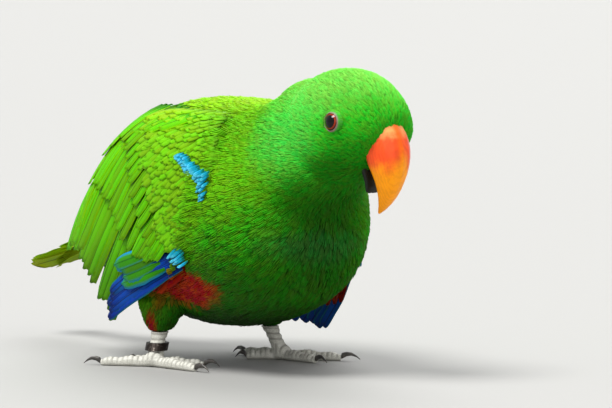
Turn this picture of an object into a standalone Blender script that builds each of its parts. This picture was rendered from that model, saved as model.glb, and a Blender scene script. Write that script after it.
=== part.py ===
"""A male eclectus parrot, standing with its head bent down: a still, life-size model.

Frame: metres, +Z up. +X is the way the body faces, +Y is the bird's left side, and the floor
is at z = 0, with the origin on it under the middle of the model. Sizes below are millimetres,
measured from the point on the floor midway between the feet.
"""
import math
import random
from dataclasses import dataclass

import bmesh
import bpy
from mathutils import Matrix, Vector
from mathutils.bvhtree import BVHTree

MM = 0.001
GAP = 0.3              # clear space between touching pieces
AROUND = 28            # points round the body's cross-sections
RIGHT, LEFT = -1, 1    # signs of y for the two sides

# Head: its centre and the way it is turned
HEAD_CENTRE = Vector((99, 5, 109))
HEAD_YAW = math.radians(12)      # to the bird's left
HEAD_PITCH = math.radians(25)    # bill down
NECK_YAW = math.radians(4)

# Upper bill: a horn curved about one centre, in the head's own frame (forward, up)
BILL_HUB = (9.4, -10.2)
BILL_OUTER = 25.0                          # radius of the ridge of the bill
BILL_BROW = 2.2                            # how much larger that radius is at the forehead
BILL_CUTTING_EDGE = 11.4
BILL_HALF, BILL_POINT = 11.4, 0.7          # half the width at root and tip
BILL_ROOT, BILL_TIP = 84.0, -37.0          # degrees about the hub
LOWER_BILL_OUTER = (10.4, 15.6)            # radii at root and tip
LOWER_BILL_INNER = (0.5, 13.2)
LOWER_BILL_HALF = (9.0, 4.2)
LOWER_BILL_ROOT, LOWER_BILL_TIP = 60.0, -34.0
MOUTH_RADII = (12.4, 8.6)                  # the gape, between the two halves
MOUTH_HALF = 7.0
MOUTH_ROOT, MOUTH_TIP = 58.0, -34.0

# Eyes, in the head's own frame
EYE_PLACE = (3.6, 9.1)     # forward, up
EYE_RADIUS = 5.0
EYE_SUNK = 3.4             # depth of the eye's centre under the feathers
LID_RADIUS = 4.25
LID_ROLL = 0.6
LID_SUNK = 0.35

# Legs and feet
ANKLE_HEIGHT = 15.5
TARSUS_RADIUS = 3.4
TOE_RADIUS = 3.1
CLAW_SHARE = 0.33        # a claw's length, as a share of its toe's
TOE_THINNING = 0.82      # thickness at a toe's end, as a share of that at its root
TARSUS_SWELL = ((0.0, 1.25), (0.22, 1.0), (0.7, 1.0), (0.86, 1.15), (1.0, 1.25))
TOE_SWELL = ((0.0, 1.0), (0.25, 0.84), (0.45, 1.0), (0.65, 0.8), (0.85, 0.9), (1.0, 0.6))
FOOT_HUB_HEIGHT = 3.2
SOLE_RADIUS = 4.4
CLAW_RADIUS = 1.5
CLAW_POINT = 0.22
RING_PLACE = (0.38, 0.66)       # the leg ring, as shares of the way down the tarsus
RING_OUTER = 5.2


@dataclass(frozen=True)
class Section:
    """A cross-section of the body: its highest and lowest midline points and half its width."""

    top: tuple
    low: tuple
    half: float
    widest: float = 0.5    # height of the widest place, as a share of the section


TORSO = (
    Section(top=(-92.0, 54.0), low=(-90.0, 43.0), half=10.0),             # root of the tail
    Section(top=(-79.0, 66.5), low=(-80.0, 38.0), half=17.5),             # rump and vent
    Section(top=(-60.0, 86.0), low=(-62.0, 31.5), half=25.0),
    Section(top=(-38.0, 106.0), low=(-40.0, 26.0), half=32.5),
    Section(top=(-15.0, 118.0), low=(-16.0, 21.0), half=37.5),            # back and belly
    Section(top=(8.0, 121.0), low=(14.0, 18.5), half=40.0, widest=0.52),
    Section(top=(26.0, 121.0), low=(46.0, 22.0), half=41.5, widest=0.5),
    Section(top=(37.0, 120.5), low=(73.0, 34.0), half=40.0, widest=0.48),
    Section(top=(45.0, 120.5), low=(84.0, 51.5), half=35.5, widest=0.46),  # breast and mantle
    Section(top=(51.0, 120.5), low=(87.0, 71.5), half=30.5, widest=0.45),  # root of the neck
)
NECK = (
    Section(top=(51.0, 120.5), low=(87.0, 71.5), half=30.5, widest=0.45),
    Section(top=(56.5, 121.5), low=(91.5, 78.0), half=28.5, widest=0.45),
    Section(top=(65.0, 125.5), low=(97.5, 85.0), half=26.0, widest=0.45),
    Section(top=(78.0, 122.0), low=(98.0, 98.0), half=16.0, widest=0.45),
)

# Head from back to front in its own frame: (forward, top), (forward, low)
HEAD = (
    Section(top=(-29.0, 4.0), low=(-29.0, -3.0), half=4.0),
    Section(top=(-26.5, 12.5), low=(-26.5, -11.5), half=13.0),
    Section(top=(-20.0, 20.5), low=(-20.0, -20.0), half=19.5, widest=0.48),
    Section(top=(-10.0, 26.0), low=(-10.0, -25.5), half=23.0, widest=0.46),
    Section(top=(0.0, 27.8), low=(0.0, -25.5), half=23.6, widest=0.46),
    Section(top=(9.0, 26.0), low=(8.0, -22.0), half=22.4, widest=0.48),
    Section(top=(16.5, 21.5), low=(14.0, -17.0), half=19.8, widest=0.55),
    Section(top=(21.6, 14.8), low=(18.5, -10.5), half=15.8, widest=0.6),
    Section(top=(23.8, 9.5), low=(21.0, -4.0), half=9.0, widest=0.6),
)


@dataclass(frozen=True)
class Rib:
    """The shape that a folded wing lies on, at one distance along the body."""

    crest: float      # height over the spine
    level: float      # height where it is widest
    half: float


RIB_START = 60.0
RIB_STEP = 20.0
RIBS = (
    Rib(crest=118.0, level=84.0, half=35.0),
    Rib(crest=120.5, level=80.0, half=39.5),
    Rib(crest=121.0, level=76.0, half=41.5),
    Rib(crest=120.8, level=72.0, half=41.0),
    Rib(crest=117.0, level=68.0, half=39.0),
    Rib(crest=106.5, level=62.0, half=37.5),
    Rib(crest=89.0, level=56.0, half=34.5),
    Rib(crest=69.5, level=49.0, half=29.5),
    Rib(crest=55.0, level=44.0, half=24.0),
)
WING_REACH = {RIGHT: 62.0, LEFT: 76.0}   # length of one unit of wing below the widest level
WING_FLARE = {RIGHT: -6.0, LEFT: 13.0}    # how far a hanging wing leans out, a unit down
WING_FRONT = {RIGHT: (46.0, 53.0, 12.0), LEFT: (46.0, 53.0, 34.0)}   # x of its front: high, level, low
WING_REAR = {RIGHT: (-26.0, -12.0), LEFT: (-26.0, 10.0)}             # x of its arm's rear: high, low
WING_DOWN = (0.34, 1.5)                   # where the arm starts and ends, round the body
WING_DEPTH = 4.4
SHOULDER_SQUARE = 2.5

VANE_THICK = 1.0
VANE_TILT = -9.0        # degrees about its own length, so that each edge lies over the next
CORE_INNER, CORE_EDGE = -1.5, 0.9
SEED = 7


@dataclass(frozen=True)
class Row:
    """A row of wing feathers. Each pair of values runs from its first feather to its last."""

    name: str
    count: int
    x: tuple             # roots, along the body
    down: tuple          # roots, round the body
    heading: tuple       # degrees below straight back
    length: tuple
    half: tuple          # half the width
    lift: tuple          # height over the body at root and tip
    blunt: float = 0.5   # width of the tip, as a share of the widest
    steps: int = 4


def wing_rows(low, ahead, hand, trim):
    """The rows of one wing: low and ahead move the hand, hand is its slope, trim cuts its feathers."""
    return (
        Row("primary", 6, x=(27 + ahead, 3), down=(1.50 + low, 1.22), heading=(16 + hand, 34),
            length=(50 - trim, 42), half=(4.2, 5.5), lift=(0.6, 1.0), blunt=0.85),
        Row("secondary", 8, x=(4, -34), down=(1.10, 0.40), heading=(43, 37), length=(45, 52), half=(7.0, 7.5),
            lift=(1.2, 2.0), blunt=0.55),
        Row("primary_covert", 4, x=(33 + 0.3 * ahead, 14), down=(1.42 + low, 1.18), heading=(20 + hand, 36),
            length=(36 - trim, 30), half=(4.4, 5.2), lift=(2.0, 2.4), steps=3),
        Row("greater_covert", 7, x=(18, -16), down=(1.10, 0.44), heading=(44, 38), length=(32, 34),
            half=(6.2, 6.8), lift=(2.9, 3.4), steps=3),
        Row("median_covert", 5, x=(32, 6), down=(1.10, 0.44), heading=(42, 38), length=(25, 26),
            half=(6.2, 6.8), lift=(3.7, 4.4), steps=3),
        Row("scapular", 5, x=(32, -24), down=(0.38, 0.34), heading=(16, 31), length=(34, 50),
            half=(7.5, 7.5), lift=(3.4, 3.6), steps=3),
    )


WING_ROWS = {RIGHT: wing_rows(0.0, 0.0, 0.0, 0.0), LEFT: wing_rows(0.06, 12.0, 20.0, 13.0)}

TAIL_SLOPE = 17.0          # degrees below level
TAIL_ROOT_LENGTH = 16.0
TAIL_ROOT = ((0.0, 1.0), (0.3, 0.92), (0.7, 0.7), (1.0, 0.42))   # its sections: place and size, as shares


@dataclass(frozen=True)
class TailRow:
    """A fan of tail feathers, alike on both sides of the middle."""

    name: str
    count: int
    length: float
    shorter: float     # how much less at the outermost
    half: float
    spread: float      # degrees between neighbours
    apart: float       # between roots
    rise: float        # height of the middle roots over the tail's axis
    roof: float        # how much lower the outermost is
    sag: float
    tilt: float
    blunt: float = 0.6


TAIL_ROWS = (
    TailRow("tail_feather", 12, length=64, shorter=9, half=6.8, spread=2.9, apart=1.2, rise=1.6, roof=3.8,
            sag=1.0, tilt=-14),
    TailRow("upper_covert", 4, length=29, shorter=5, half=6.6, spread=7.0, apart=3.8, rise=4.2, roof=2.6,
            sag=1.5, tilt=-14),
    TailRow("under_covert", 3, length=34, shorter=6, half=7.0, spread=8.0, apart=5.0, rise=-3.2, roof=1.0,
            sag=-0.5, tilt=-10),
)

@dataclass(frozen=True)
class Stance:
    """Where one leg stands, in millimetres, and the way its foot points, in degrees to the left."""

    side: int
    hip: tuple
    ankle: tuple
    foot: tuple
    heading: float


STANCES = {
    "right": Stance(RIGHT, hip=(-8.0, -22.0, 40.0), ankle=(-3.0, -28.5, ANKLE_HEIGHT), foot=(1.0, -34.0),
                    heading=20.0),
    "left": Stance(LEFT, hip=(-2.0, 22.0, 38.0), ankle=(4.0, 27.0, ANKLE_HEIGHT), foot=(9.0, 30.0),
                   heading=30.0),
}
THIGH = ((0.0, 19.0, 10.5), (0.35, 17.0, 9.5), (0.7, 11.5, 8.0), (0.9, 7.5, 6.2), (1.0, 5.2, 4.8))


@dataclass(frozen=True)
class Toe:
    """One toe: its angle outward from the foot's heading and its length without the claw."""

    name: str
    outward: float
    length: float


TOES = (
    Toe("front_outer", 12.0, 28.0),
    Toe("front_inner", -22.0, 23.0),
    Toe("hind_outer", 158.0, 25.0),
    Toe("hind_inner", -160.0, 16.0),
)

MATERIALS = {
    "green_back": ("#7FB800", 0.7),
    "green_breast": ("#3F9A00", 0.75),
    "green_head": ("#44C834", 0.7),
    "green_tail": ("#8FA818", 0.7),
    "coral_bill": ("#FF6A34", 0.35),
    "black_bill": ("#202820", 0.4),
    "red_iris": ("#B43A10", 0.1),
    "grey_skin": ("#B9B9AE", 0.6),
    "dark_claw": ("#3A3733", 0.35),
    "dark_ring": ("#2C2622", 0.4),
}


def clear_scene():
    """Remove every object of the scene."""
    for item in list(bpy.data.objects):
        bpy.data.objects.remove(item, do_unlink=True)


def linear(hex_colour):
    """Turn an sRGB hex colour into the linear values that a shader takes."""
    shares = [int(hex_colour[i:i + 2], 16) / 255 for i in (1, 3, 5)]
    return [c / 12.92 if c <= 0.04045 else ((c + 0.055) / 1.055) ** 2.4 for c in shares]


def material(name):
    """The named material, made on first use."""
    found = bpy.data.materials.get(name)
    if found:
        return found
    colour, roughness = MATERIALS[name]
    found = bpy.data.materials.new(name)
    found.use_nodes = True
    shader = found.node_tree.nodes["Principled BSDF"]
    shader.inputs["Base Color"].default_value = (*linear(colour), 1.0)
    shader.inputs["Roughness"].default_value = roughness
    shader.inputs["Metallic"].default_value = 0.0
    return found


def spline(values, place):
    """Value at a place along a smooth curve through evenly spaced values."""
    last = len(values) - 1
    place = min(max(place, 0.0), last)
    i = min(int(place), last - 1)
    f = place - i
    p1, p2 = values[i], values[i + 1]
    p0 = values[i - 1] if i > 0 else 2 * p1 - p2
    p3 = values[i + 2] if i + 2 <= last else 2 * p2 - p1
    return 0.5 * (2 * p1 + (p2 - p0) * f + (2 * p0 - 5 * p1 + 4 * p2 - p3) * f ** 2
                  + (3 * p1 - 3 * p2 + p3 - p0) * f ** 3)


def mix(a, b, share):
    """Value a share of the way from a to b."""
    return a + (b - a) * share


def section_at(sections, place):
    """The smooth cross-section at a place between the given ones."""
    def along(pick):
        return spline([pick(s) for s in sections], place)

    return Section(top=(along(lambda s: s.top[0]), along(lambda s: s.top[1])),
                   low=(along(lambda s: s.low[0]), along(lambda s: s.low[1])),
                   half=along(lambda s: s.half), widest=along(lambda s: s.widest))


def ring(top, low, side, half, widest=0.5, square=2.3, count=AROUND):
    """Points round a cross-section from its top, first down the side that side points to."""
    centre = low.lerp(top, widest)
    points = []
    for step in range(count):
        angle = 2 * math.pi * step / count
        rise, out = math.cos(angle), math.sin(angle)
        reach = (top if rise > 0 else low) - centre
        points.append(centre + reach * abs(rise) ** (2 / square)
                      + side * half * math.copysign(abs(out) ** (2 / square), out))
    return points


def make_solid(name, points, faces, colour):
    """A closed mesh object from points in millimetres, its faces turned outward."""
    mesh = bpy.data.meshes.new(name)
    mesh.from_pydata([p * MM for p in points], [], faces)
    work = bmesh.new()
    work.from_mesh(mesh)
    bmesh.ops.triangulate(work, faces=[f for f in work.faces if len(f.verts) > 4])
    bmesh.ops.recalc_face_normals(work, faces=work.faces)
    if work.calc_volume(signed=True) < 0:
        bmesh.ops.reverse_faces(work, faces=work.faces)
    work.to_mesh(mesh)
    work.free()
    mesh.materials.append(material(colour))
    item = bpy.data.objects.new(name, mesh)
    bpy.context.scene.collection.objects.link(item)
    return item


def loft(name, rings, colour, poles=(None, None)):
    """A closed solid through rings of points, ended by flat faces or by pole points."""
    count = len(rings[0])
    points = [p for row in rings for p in row]
    faces = []
    for r in range(len(rings) - 1):
        for i in range(count):
            j = (i + 1) % count
            a, b = r * count, (r + 1) * count
            faces.append((a + i, a + j, b + j, b + i))
    for pole, start in zip(poles, (0, (len(rings) - 1) * count)):
        rim = list(range(start, start + count))
        if pole is None:
            faces.append(tuple(rim))
        else:
            points.append(pole)
            faces.extend((rim[i], rim[(i + 1) % count], len(points) - 1) for i in range(count))
    return make_solid(name, points, faces, colour)


def evaluated_mesh(item):
    """The object's mesh with its modifiers applied."""
    depsgraph = bpy.context.evaluated_depsgraph_get()
    return bpy.data.meshes.new_from_object(item.evaluated_get(depsgraph))


def apply_boolean(item, operation, collection, solver="EXACT"):
    """Apply one Boolean against a collection, then remove the collection's objects."""
    change = item.modifiers.new(operation.lower(), "BOOLEAN")
    change.operation = operation
    change.solver = solver
    change.operand_type = "COLLECTION"
    change.collection = collection
    bpy.context.view_layer.update()
    result = evaluated_mesh(item)
    item.modifiers.remove(change)
    old = item.data
    item.data = result
    bpy.data.meshes.remove(old)
    for piece in list(collection.objects):
        bpy.data.objects.remove(piece, do_unlink=True)
    bpy.data.collections.remove(collection)
    keep_largest(item)


def gather(name, pieces):
    """Move objects to a collection of their own."""
    group = bpy.data.collections.new(name)
    bpy.context.scene.collection.children.link(group)
    for piece in pieces:
        bpy.context.scene.collection.objects.unlink(piece)
        group.objects.link(piece)
        piece.hide_render = True
        piece.display_type = "WIRE"
    return group


def fuse(item, pieces, solver="EXACT"):
    """Join pieces to an object as one closed body."""
    apply_boolean(item, "UNION", gather(item.name + "_pieces", pieces), solver)


def cut(item, cutters, solver="EXACT"):
    """Cut pieces out of an object."""
    apply_boolean(item, "DIFFERENCE", gather(item.name + "_cutters", cutters), solver)


def keep_largest(item):
    """Keep only the largest closed surface of an object."""
    work = bmesh.new()
    work.from_mesh(item.data)
    unseen = set(work.faces)
    islands = []
    while unseen:
        stack = [unseen.pop()]
        island = [stack[0]]
        while stack:
            for edge in stack.pop().edges:
                for face in edge.link_faces:
                    if face in unseen:
                        unseen.remove(face)
                        stack.append(face)
                        island.append(face)
        islands.append(island)
    islands.sort(key=lambda island: sum(f.calc_area() for f in island))
    for island in islands[:-1]:
        bmesh.ops.delete(work, geom=island, context="FACES")
    work.to_mesh(item.data)
    work.free()


def swollen(item, gap=GAP):
    """A copy of an object with its surface moved out by a gap, to cut its neighbours clear."""
    copy = bpy.data.objects.new(item.name + "_clearance", item.data.copy())
    bpy.context.scene.collection.objects.link(copy)
    work = bmesh.new()
    work.from_mesh(copy.data)
    work.normal_update()
    shifts = []
    for vert in work.verts:
        lean = min((vert.normal.dot(f.normal) for f in vert.link_faces), default=1.0)
        shifts.append(vert.normal * gap * MM / max(lean, 0.6))
    for vert, shift in zip(work.verts, shifts):
        vert.co += shift
    work.to_mesh(copy.data)
    work.free()
    return copy


def body_rings(sections, steps, start=0.0, end=None, yaw=(0.0, 0.0), shift=(0.0, 0.0)):
    """Rings through body sections, turned and moved aside little by little."""
    end = len(sections) - 1 if end is None else end
    rings = []
    for step in range(steps + 1):
        share = step / steps
        s = section_at(sections, mix(start, end, share))
        turn = mix(*yaw, share)
        aside = mix(*shift, share)
        side = Vector((-math.sin(turn), math.cos(turn), 0))
        top = Vector((s.top[0], aside, s.top[1]))
        low = Vector((s.low[0], aside, s.low[1]))
        rings.append(ring(top, low, side, s.half, s.widest))
    return rings


def build_torso():
    """The trunk, from the root of the tail to the root of the neck."""
    return loft("torso", body_rings(TORSO, 18), "green_breast")


def head_axes():
    """The head's forward, left and up directions."""
    turn = Matrix.Rotation(HEAD_YAW, 3, "Z") @ Matrix.Rotation(HEAD_PITCH, 3, "Y")
    return turn @ Vector((1, 0, 0)), turn @ Vector((0, 1, 0)), turn @ Vector((0, 0, 1))


def in_head(forward, left, up):
    """A point of the head's own frame, in the bird's frame."""
    ahead, aside, above = head_axes()
    return HEAD_CENTRE + ahead * forward + aside * left + above * up


def build_head():
    """The head, rounded behind and blunt in front, before anything is cut in it."""
    rings = []
    steps = 14
    aside = head_axes()[1]
    for step in range(steps + 1):
        s = section_at(HEAD, step * (len(HEAD) - 1) / steps)
        top, low = in_head(s.top[0], 0, s.top[1]), in_head(s.low[0], 0, s.low[1])
        rings.append(ring(top, low, aside, s.half, s.widest, square=2.15))
    back, front = in_head(-29.8, 0, 0.5), in_head(23.6, 0, 2.5)
    return loft("head", rings, "green_head", poles=(back, front))


def build_neck(head):
    """The neck, between the trunk and the back of the head."""
    rings = body_rings(NECK, 6, yaw=(0.0, NECK_YAW), shift=(0.0, 3.0))
    ahead = (rings[1][0] - rings[0][0]).normalized()
    rings[0] = [p + ahead * GAP for p in rings[0]]
    neck = loft("neck", rings, "green_head")
    cut(neck, [swollen(head)])


def horn_rings(angles, outer, inner, half, widest, square, count=16):
    """Rings of a horn curved about the bill's hub, its outer side along the ridge."""
    ahead, aside, above = head_axes()
    hub = in_head(BILL_HUB[0], 0, BILL_HUB[1])
    rings = []
    for angle in angles:
        a = math.radians(angle)
        out = ahead * math.cos(a) + above * math.sin(a)
        rings.append(ring(hub + out * outer(angle), hub + out * inner(angle), aside, half(angle), widest,
                          square, count))
    return rings


def share_of(angle, start, end):
    """How far an angle lies from start to end, from 0 to 1."""
    return min(max((angle - start) / (end - start), 0.0), 1.0)


def upper_outer(angle):
    """Radius of the ridge of the upper bill."""
    return BILL_OUTER + BILL_BROW * share_of(angle, 5.0, 64.0)


def upper_inner(angle):
    """Radius of the upper bill's cutting edge."""
    return mix(BILL_CUTTING_EDGE, BILL_OUTER - 0.8, share_of(angle, 26.0, BILL_TIP) ** 1.5)


def upper_half(angle):
    """Half the width of the upper bill."""
    return mix(BILL_HALF, BILL_POINT, share_of(angle, 48.0, BILL_TIP) ** 1.6)


def build_upper_bill():
    """The hooked upper bill."""
    steps = 14
    angles = [mix(BILL_ROOT, BILL_TIP, step / steps) for step in range(steps + 1)]
    rings = horn_rings(angles, upper_outer, upper_inner, upper_half, 0.24, 2.2)
    return loft("bill_upper", rings, "coral_bill")


def build_lower_bill():
    """The short, scooped lower bill inside the curve of the upper one."""
    def outer(angle):
        return mix(*LOWER_BILL_OUTER, share_of(angle, 10.0, LOWER_BILL_TIP) ** 1.4)

    def inner(angle):
        return mix(*LOWER_BILL_INNER, share_of(angle, 55.0, LOWER_BILL_TIP) ** 2.4)

    def half(angle):
        return mix(*LOWER_BILL_HALF, share_of(angle, 40.0, LOWER_BILL_TIP) ** 1.3)

    steps = 8
    angles = [mix(LOWER_BILL_ROOT, LOWER_BILL_TIP, step / steps) for step in range(steps + 1)]
    return loft("bill_lower", horn_rings(angles, outer, inner, half, 0.7, 2.4), "black_bill")


def mouth_space():
    """The gape, a gap in the head between the two halves of the bill."""
    angles = [mix(MOUTH_ROOT, MOUTH_TIP, step / 5) for step in range(6)]
    outer, inner = MOUTH_RADII
    rings = horn_rings(angles, lambda a: outer, lambda a: inner, lambda a: MOUTH_HALF, 0.5, 2.4)
    return loft("mouth_space", rings, "black_bill")


def surface_point(item, origin, direction):
    """Where a line in millimetres meets an object's surface, and the normal there."""
    work = bmesh.new()
    work.from_mesh(item.data)
    tree = BVHTree.FromBMesh(work)
    place, normal, _, _ = tree.ray_cast(origin * MM, direction)
    work.free()
    return place / MM, normal


def ball(name, centre, radius, colour, rows=8, around=14):
    """A round ball."""
    rings = []
    for row in range(1, rows):
        angle = math.pi * row / rows
        rings.append([centre + radius * Vector((math.sin(angle) * math.cos(2 * math.pi * i / around),
                                                math.sin(angle) * math.sin(2 * math.pi * i / around),
                                                math.cos(angle))) for i in range(around)])
    up = Vector((0, 0, radius))
    return loft(name, rings, colour, poles=(centre + up, centre - up))


def lid(name, centre, axis, colour):
    """The rim of the lids, a rolled ring round the eye."""
    turn = axis.to_track_quat("Z", "Y").to_matrix()
    around, roll = 18, 5
    points, faces = [], []
    for i in range(around):
        a = 2 * math.pi * i / around
        for j in range(roll):
            b = 2 * math.pi * j / roll
            reach = LID_RADIUS + LID_ROLL * math.cos(b)
            points.append(centre + turn @ Vector((reach * math.cos(a), reach * math.sin(a),
                                                  LID_ROLL * math.sin(b))))
            n = (i + 1) % around
            m = (j + 1) % roll
            faces.append((i * roll + j, n * roll + j, n * roll + m, i * roll + m))
    return make_solid(name, points, faces, colour)


def finish_head(head, upper_bill, lower_bill):
    """Add the lids and the eyes, and cut their sockets and the bill's seats in the head."""
    aside = head_axes()[1]
    lids, cutters = [], [swollen(upper_bill), swollen(lower_bill), mouth_space()]
    for name, sign in (("right", RIGHT), ("left", LEFT)):
        start = in_head(EYE_PLACE[0], 60 * sign, EYE_PLACE[1])
        place, normal = surface_point(head, start, -aside * sign)
        centre = place - normal * EYE_SUNK
        lids.append(lid("lid_" + name, place - normal * LID_SUNK, normal, "green_head"))
        ball("eye_" + name, centre, EYE_RADIUS, "red_iris")
        cutters.append(ball("socket_" + name, centre, EYE_RADIUS + GAP, "red_iris"))
    fuse(head, lids)
    cut(head, cutters)


def wing_rib(x):
    """The wing's resting shape at one distance along the body."""
    place = (RIB_START - x) / RIB_STEP
    return Rib(crest=spline([r.crest for r in RIBS], place), level=spline([r.level for r in RIBS], place),
               half=spline([r.half for r in RIBS], place))


def wing_point(side, x, down, lift=0.0):
    """A point over the side of the body: down is 0 at the spine and 1 at the widest level."""
    rib = wing_rib(x)
    if down < 1:
        angle = math.pi / 2 * down
        y = rib.half * math.sin(angle) ** (2 / SHOULDER_SQUARE)
        z = rib.level + (rib.crest - rib.level) * math.cos(angle) ** (2 / SHOULDER_SQUARE)
    else:
        y = rib.half + WING_FLARE[side] * (down - 1) ** 2
        z = rib.level - WING_REACH[side] * (down - 1)
    point = Vector((x, y * side, z))
    return point + wing_normal(side, x, down) * lift if lift else point


def wing_normal(side, x, down):
    """The outward direction over the side of the body."""
    step = 0.02
    back = wing_point(side, x - 1, down) - wing_point(side, x + 1, down)
    fall = wing_point(side, x, down + step) - wing_point(side, x, down - step)
    normal = back.cross(fall).normalized()
    return normal if normal.y * side > 0 else -normal


def wing_core(name, side, front, rear, downs, depth):
    """The arm and hand of a folded wing as a rounded patch of the given depth over the body."""
    rows, columns = 10, 10
    grids = []
    for outer in (False, True):
        grid = []
        for r in range(rows + 1):
            down = mix(*downs, r / rows)
            for c in range(columns + 1):
                x = mix(front(down), rear(down), c / columns)
                edge = min(c, columns - c, rows - r, 2) / 2
                lift = mix(CORE_EDGE, depth, edge) if outer else CORE_INNER
                grid.append(wing_point(side, x, down, lift))
        grids.append(grid)
    points = grids[0] + grids[1]
    wide = columns + 1
    size = len(grids[0])
    faces = []
    for r in range(rows):
        for c in range(columns):
            a = r * wide + c
            for base in (0, size):
                faces.append((base + a, base + a + 1, base + a + wide))
                faces.append((base + a + 1, base + a + wide + 1, base + a + wide))
    rim = list(range(wide))
    rim += [r * wide + columns for r in range(1, rows + 1)]
    rim += [rows * wide + c for c in range(columns - 1, -1, -1)]
    rim += [r * wide for r in range(rows - 1, 0, -1)]
    for i, a in enumerate(rim):
        b = rim[(i + 1) % len(rim)]
        faces.append((a, b, size + b, size + a))
    return make_solid(name, points, faces, "green_back")


def vane(name, spine, normals, half, blunt, tilt, colour):
    """A feather along a path: a thin blade that widens from its root and narrows to its tip."""
    last = len(spine) - 1
    points, faces = [], []
    for i, (place, normal) in enumerate(zip(spine, normals)):
        share = i / last
        along = (spine[min(i + 1, last)] - spine[max(i - 1, 0)]).normalized()
        turn = Matrix.Rotation(tilt, 3, along)
        out = turn @ (normal - along * normal.dot(along)).normalized()
        side = out.cross(along)
        width = half * mix(0.55, 1.0, min(share / 0.5, 1.0)) if share < 1 else half * blunt
        thick = VANE_THICK / 2 if share < 1 else VANE_THICK * 0.3
        points += [place - side * width + out * thick, place + side * width + out * thick,
                   place + side * width - out * thick, place - side * width - out * thick]
    for i in range(last):
        a, b = 4 * i, 4 * i + 4
        faces += [(a, a + 1, b + 1), (a, b + 1, b), (a + 3, b + 2, a + 2), (a + 3, b + 3, b + 2),
                  (a + 1, a + 2, b + 2), (a + 1, b + 2, b + 1), (a, b, b + 3), (a, b + 3, a + 3)]
    end = 4 * last
    faces += [(0, 3, 2), (0, 2, 1), (end, end + 1, end + 2), (end, end + 2, end + 3)]
    return make_solid(name, points, faces, colour)


def wing_path(side, x, down, heading, length, lift, steps):
    """Points and outward normals over the folded wing, from a root in one heading."""
    spine, normals = [], []
    for step in range(steps + 1):
        share = step / steps
        spine.append(wing_point(side, x, down, mix(*lift, share)))
        normals.append(wing_normal(side, x, down))
        here = wing_point(side, x, down)
        back = wing_point(side, x - 1, down) - here
        fall = (wing_point(side, x, down + 0.02) - here) / 0.02
        rise = length / steps
        x -= rise * math.cos(heading) / back.length
        down += rise * math.sin(heading) / fall.length
    return spine, normals


def feather_rows(side, rows, draw):
    """Every feather of the rows that lie over one wing."""
    feathers = []
    for row in rows:
        for i in range(row.count):
            share = i / (row.count - 1)
            length = mix(*row.length, share) * draw.uniform(0.96, 1.04)
            heading = math.radians(mix(*row.heading, share) + draw.uniform(-1.5, 1.5))
            spine, normals = wing_path(side, mix(*row.x, share), mix(*row.down, share), heading, length,
                                       row.lift, row.steps)
            feathers.append(vane(row.name, spine, normals, mix(*row.half, share), row.blunt,
                                 math.radians(VANE_TILT) * side, "green_back"))
    return feathers


def build_wing(name, side, torso):
    """A folded wing: its arm, and over it the rows of flight feathers and coverts."""
    def front(down):
        high, level, low = WING_FRONT[side]
        return mix(mix(high, level, share_of(down, 0.3, 0.8)), low, share_of(down, 1.0, 1.66) ** 2)

    def rear(down):
        return mix(*WING_REAR[side], share_of(down, 0.9, 1.5))

    wing = wing_core(name, side, front, rear, WING_DOWN, WING_DEPTH)
    fuse(wing, feather_rows(side, WING_ROWS[side], random.Random(SEED + side)))
    cut(wing, [swollen(torso)])


def build_tail():
    """The tail: a short root with its fan of long feathers, and coverts above and below."""
    end = TORSO[0]
    top, low = Vector((end.top[0], 0, end.top[1])), Vector((end.low[0], 0, end.low[1]))
    side, up = Vector((0, 1, 0)), Vector((0, 0, 1))
    clear = (top - low).cross(side).normalized()
    clear = clear if clear.x < 0 else -clear
    slope = math.radians(TAIL_SLOPE)
    back = Vector((-math.cos(slope), 0, -math.sin(slope)))
    rings = []
    for share, swell in TAIL_ROOT:
        move = clear * GAP + back * TAIL_ROOT_LENGTH * share
        middle = (top + low) / 2 + move
        rings.append(ring(middle + (top - low) * 0.5 * swell, middle - (top - low) * 0.5 * swell, side,
                          end.half * swell, count=16))
    tail = loft("tail", rings, "green_tail")
    draw = random.Random(SEED)
    middle = (top + low) / 2 + back * 3.5
    feathers = []
    for row in TAIL_ROWS:
        for i in range(row.count):
            off = i - (row.count - 1) / 2
            spread = math.radians(off * row.spread)
            across = abs(off) / (row.count / 2)
            start = middle + side * off * row.apart + up * (row.rise - row.roof * across)
            ahead = Matrix.Rotation(spread, 3, "Z") @ back
            length = (row.length - row.shorter * across) * draw.uniform(0.97, 1.03)
            spine = [start + ahead * length * s - up * row.sag * s * s for s in (0, 0.3, 0.6, 0.85, 1)]
            feathers.append(vane(row.name, spine, [up] * 5, row.half, row.blunt,
                                 math.radians(math.copysign(row.tilt, off)), "green_tail"))
    fuse(tail, feathers)


def build_thigh(name, stance, torso):
    """The feathered thigh, from the belly to the ankle."""
    hip, ankle = Vector(stance.hip), Vector(stance.ankle)
    rings = []
    for share, fore, wide in THIGH:
        centre = hip.lerp(ankle, share)
        rings.append(ring(centre + Vector((fore, 0, 0)), centre - Vector((fore, 0, 0)), Vector((0, 1, 0)),
                          wide, count=18))
    thigh = loft("leg_" + name, rings, "green_breast")
    cut(thigh, [swollen(torso)])


def floor_ring(centre, aside, radius):
    """Points round a toe's cross-section that stands flat on the floor."""
    points = []
    for step in range(8):
        angle = 2 * math.pi * (step + 0.5) / 8
        rise = centre.z + radius * math.cos(angle)
        points.append(Vector((centre.x, centre.y, max(rise, 0.0))) + aside * radius * math.sin(angle))
    return points


def toe_solid(name, start, direction, length, radius):
    """A padded toe that lies flat on the floor."""
    aside = Vector((-direction.y, direction.x, 0))
    rings = []
    for share, swell in TOE_SWELL:
        size = radius * swell * mix(1.0, TOE_THINNING, share)
        centre = start + direction * length * share + Vector((0, 0, size * 0.78))
        rings.append(floor_ring(centre, aside, size))
    return loft(name, rings, "grey_skin")


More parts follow.
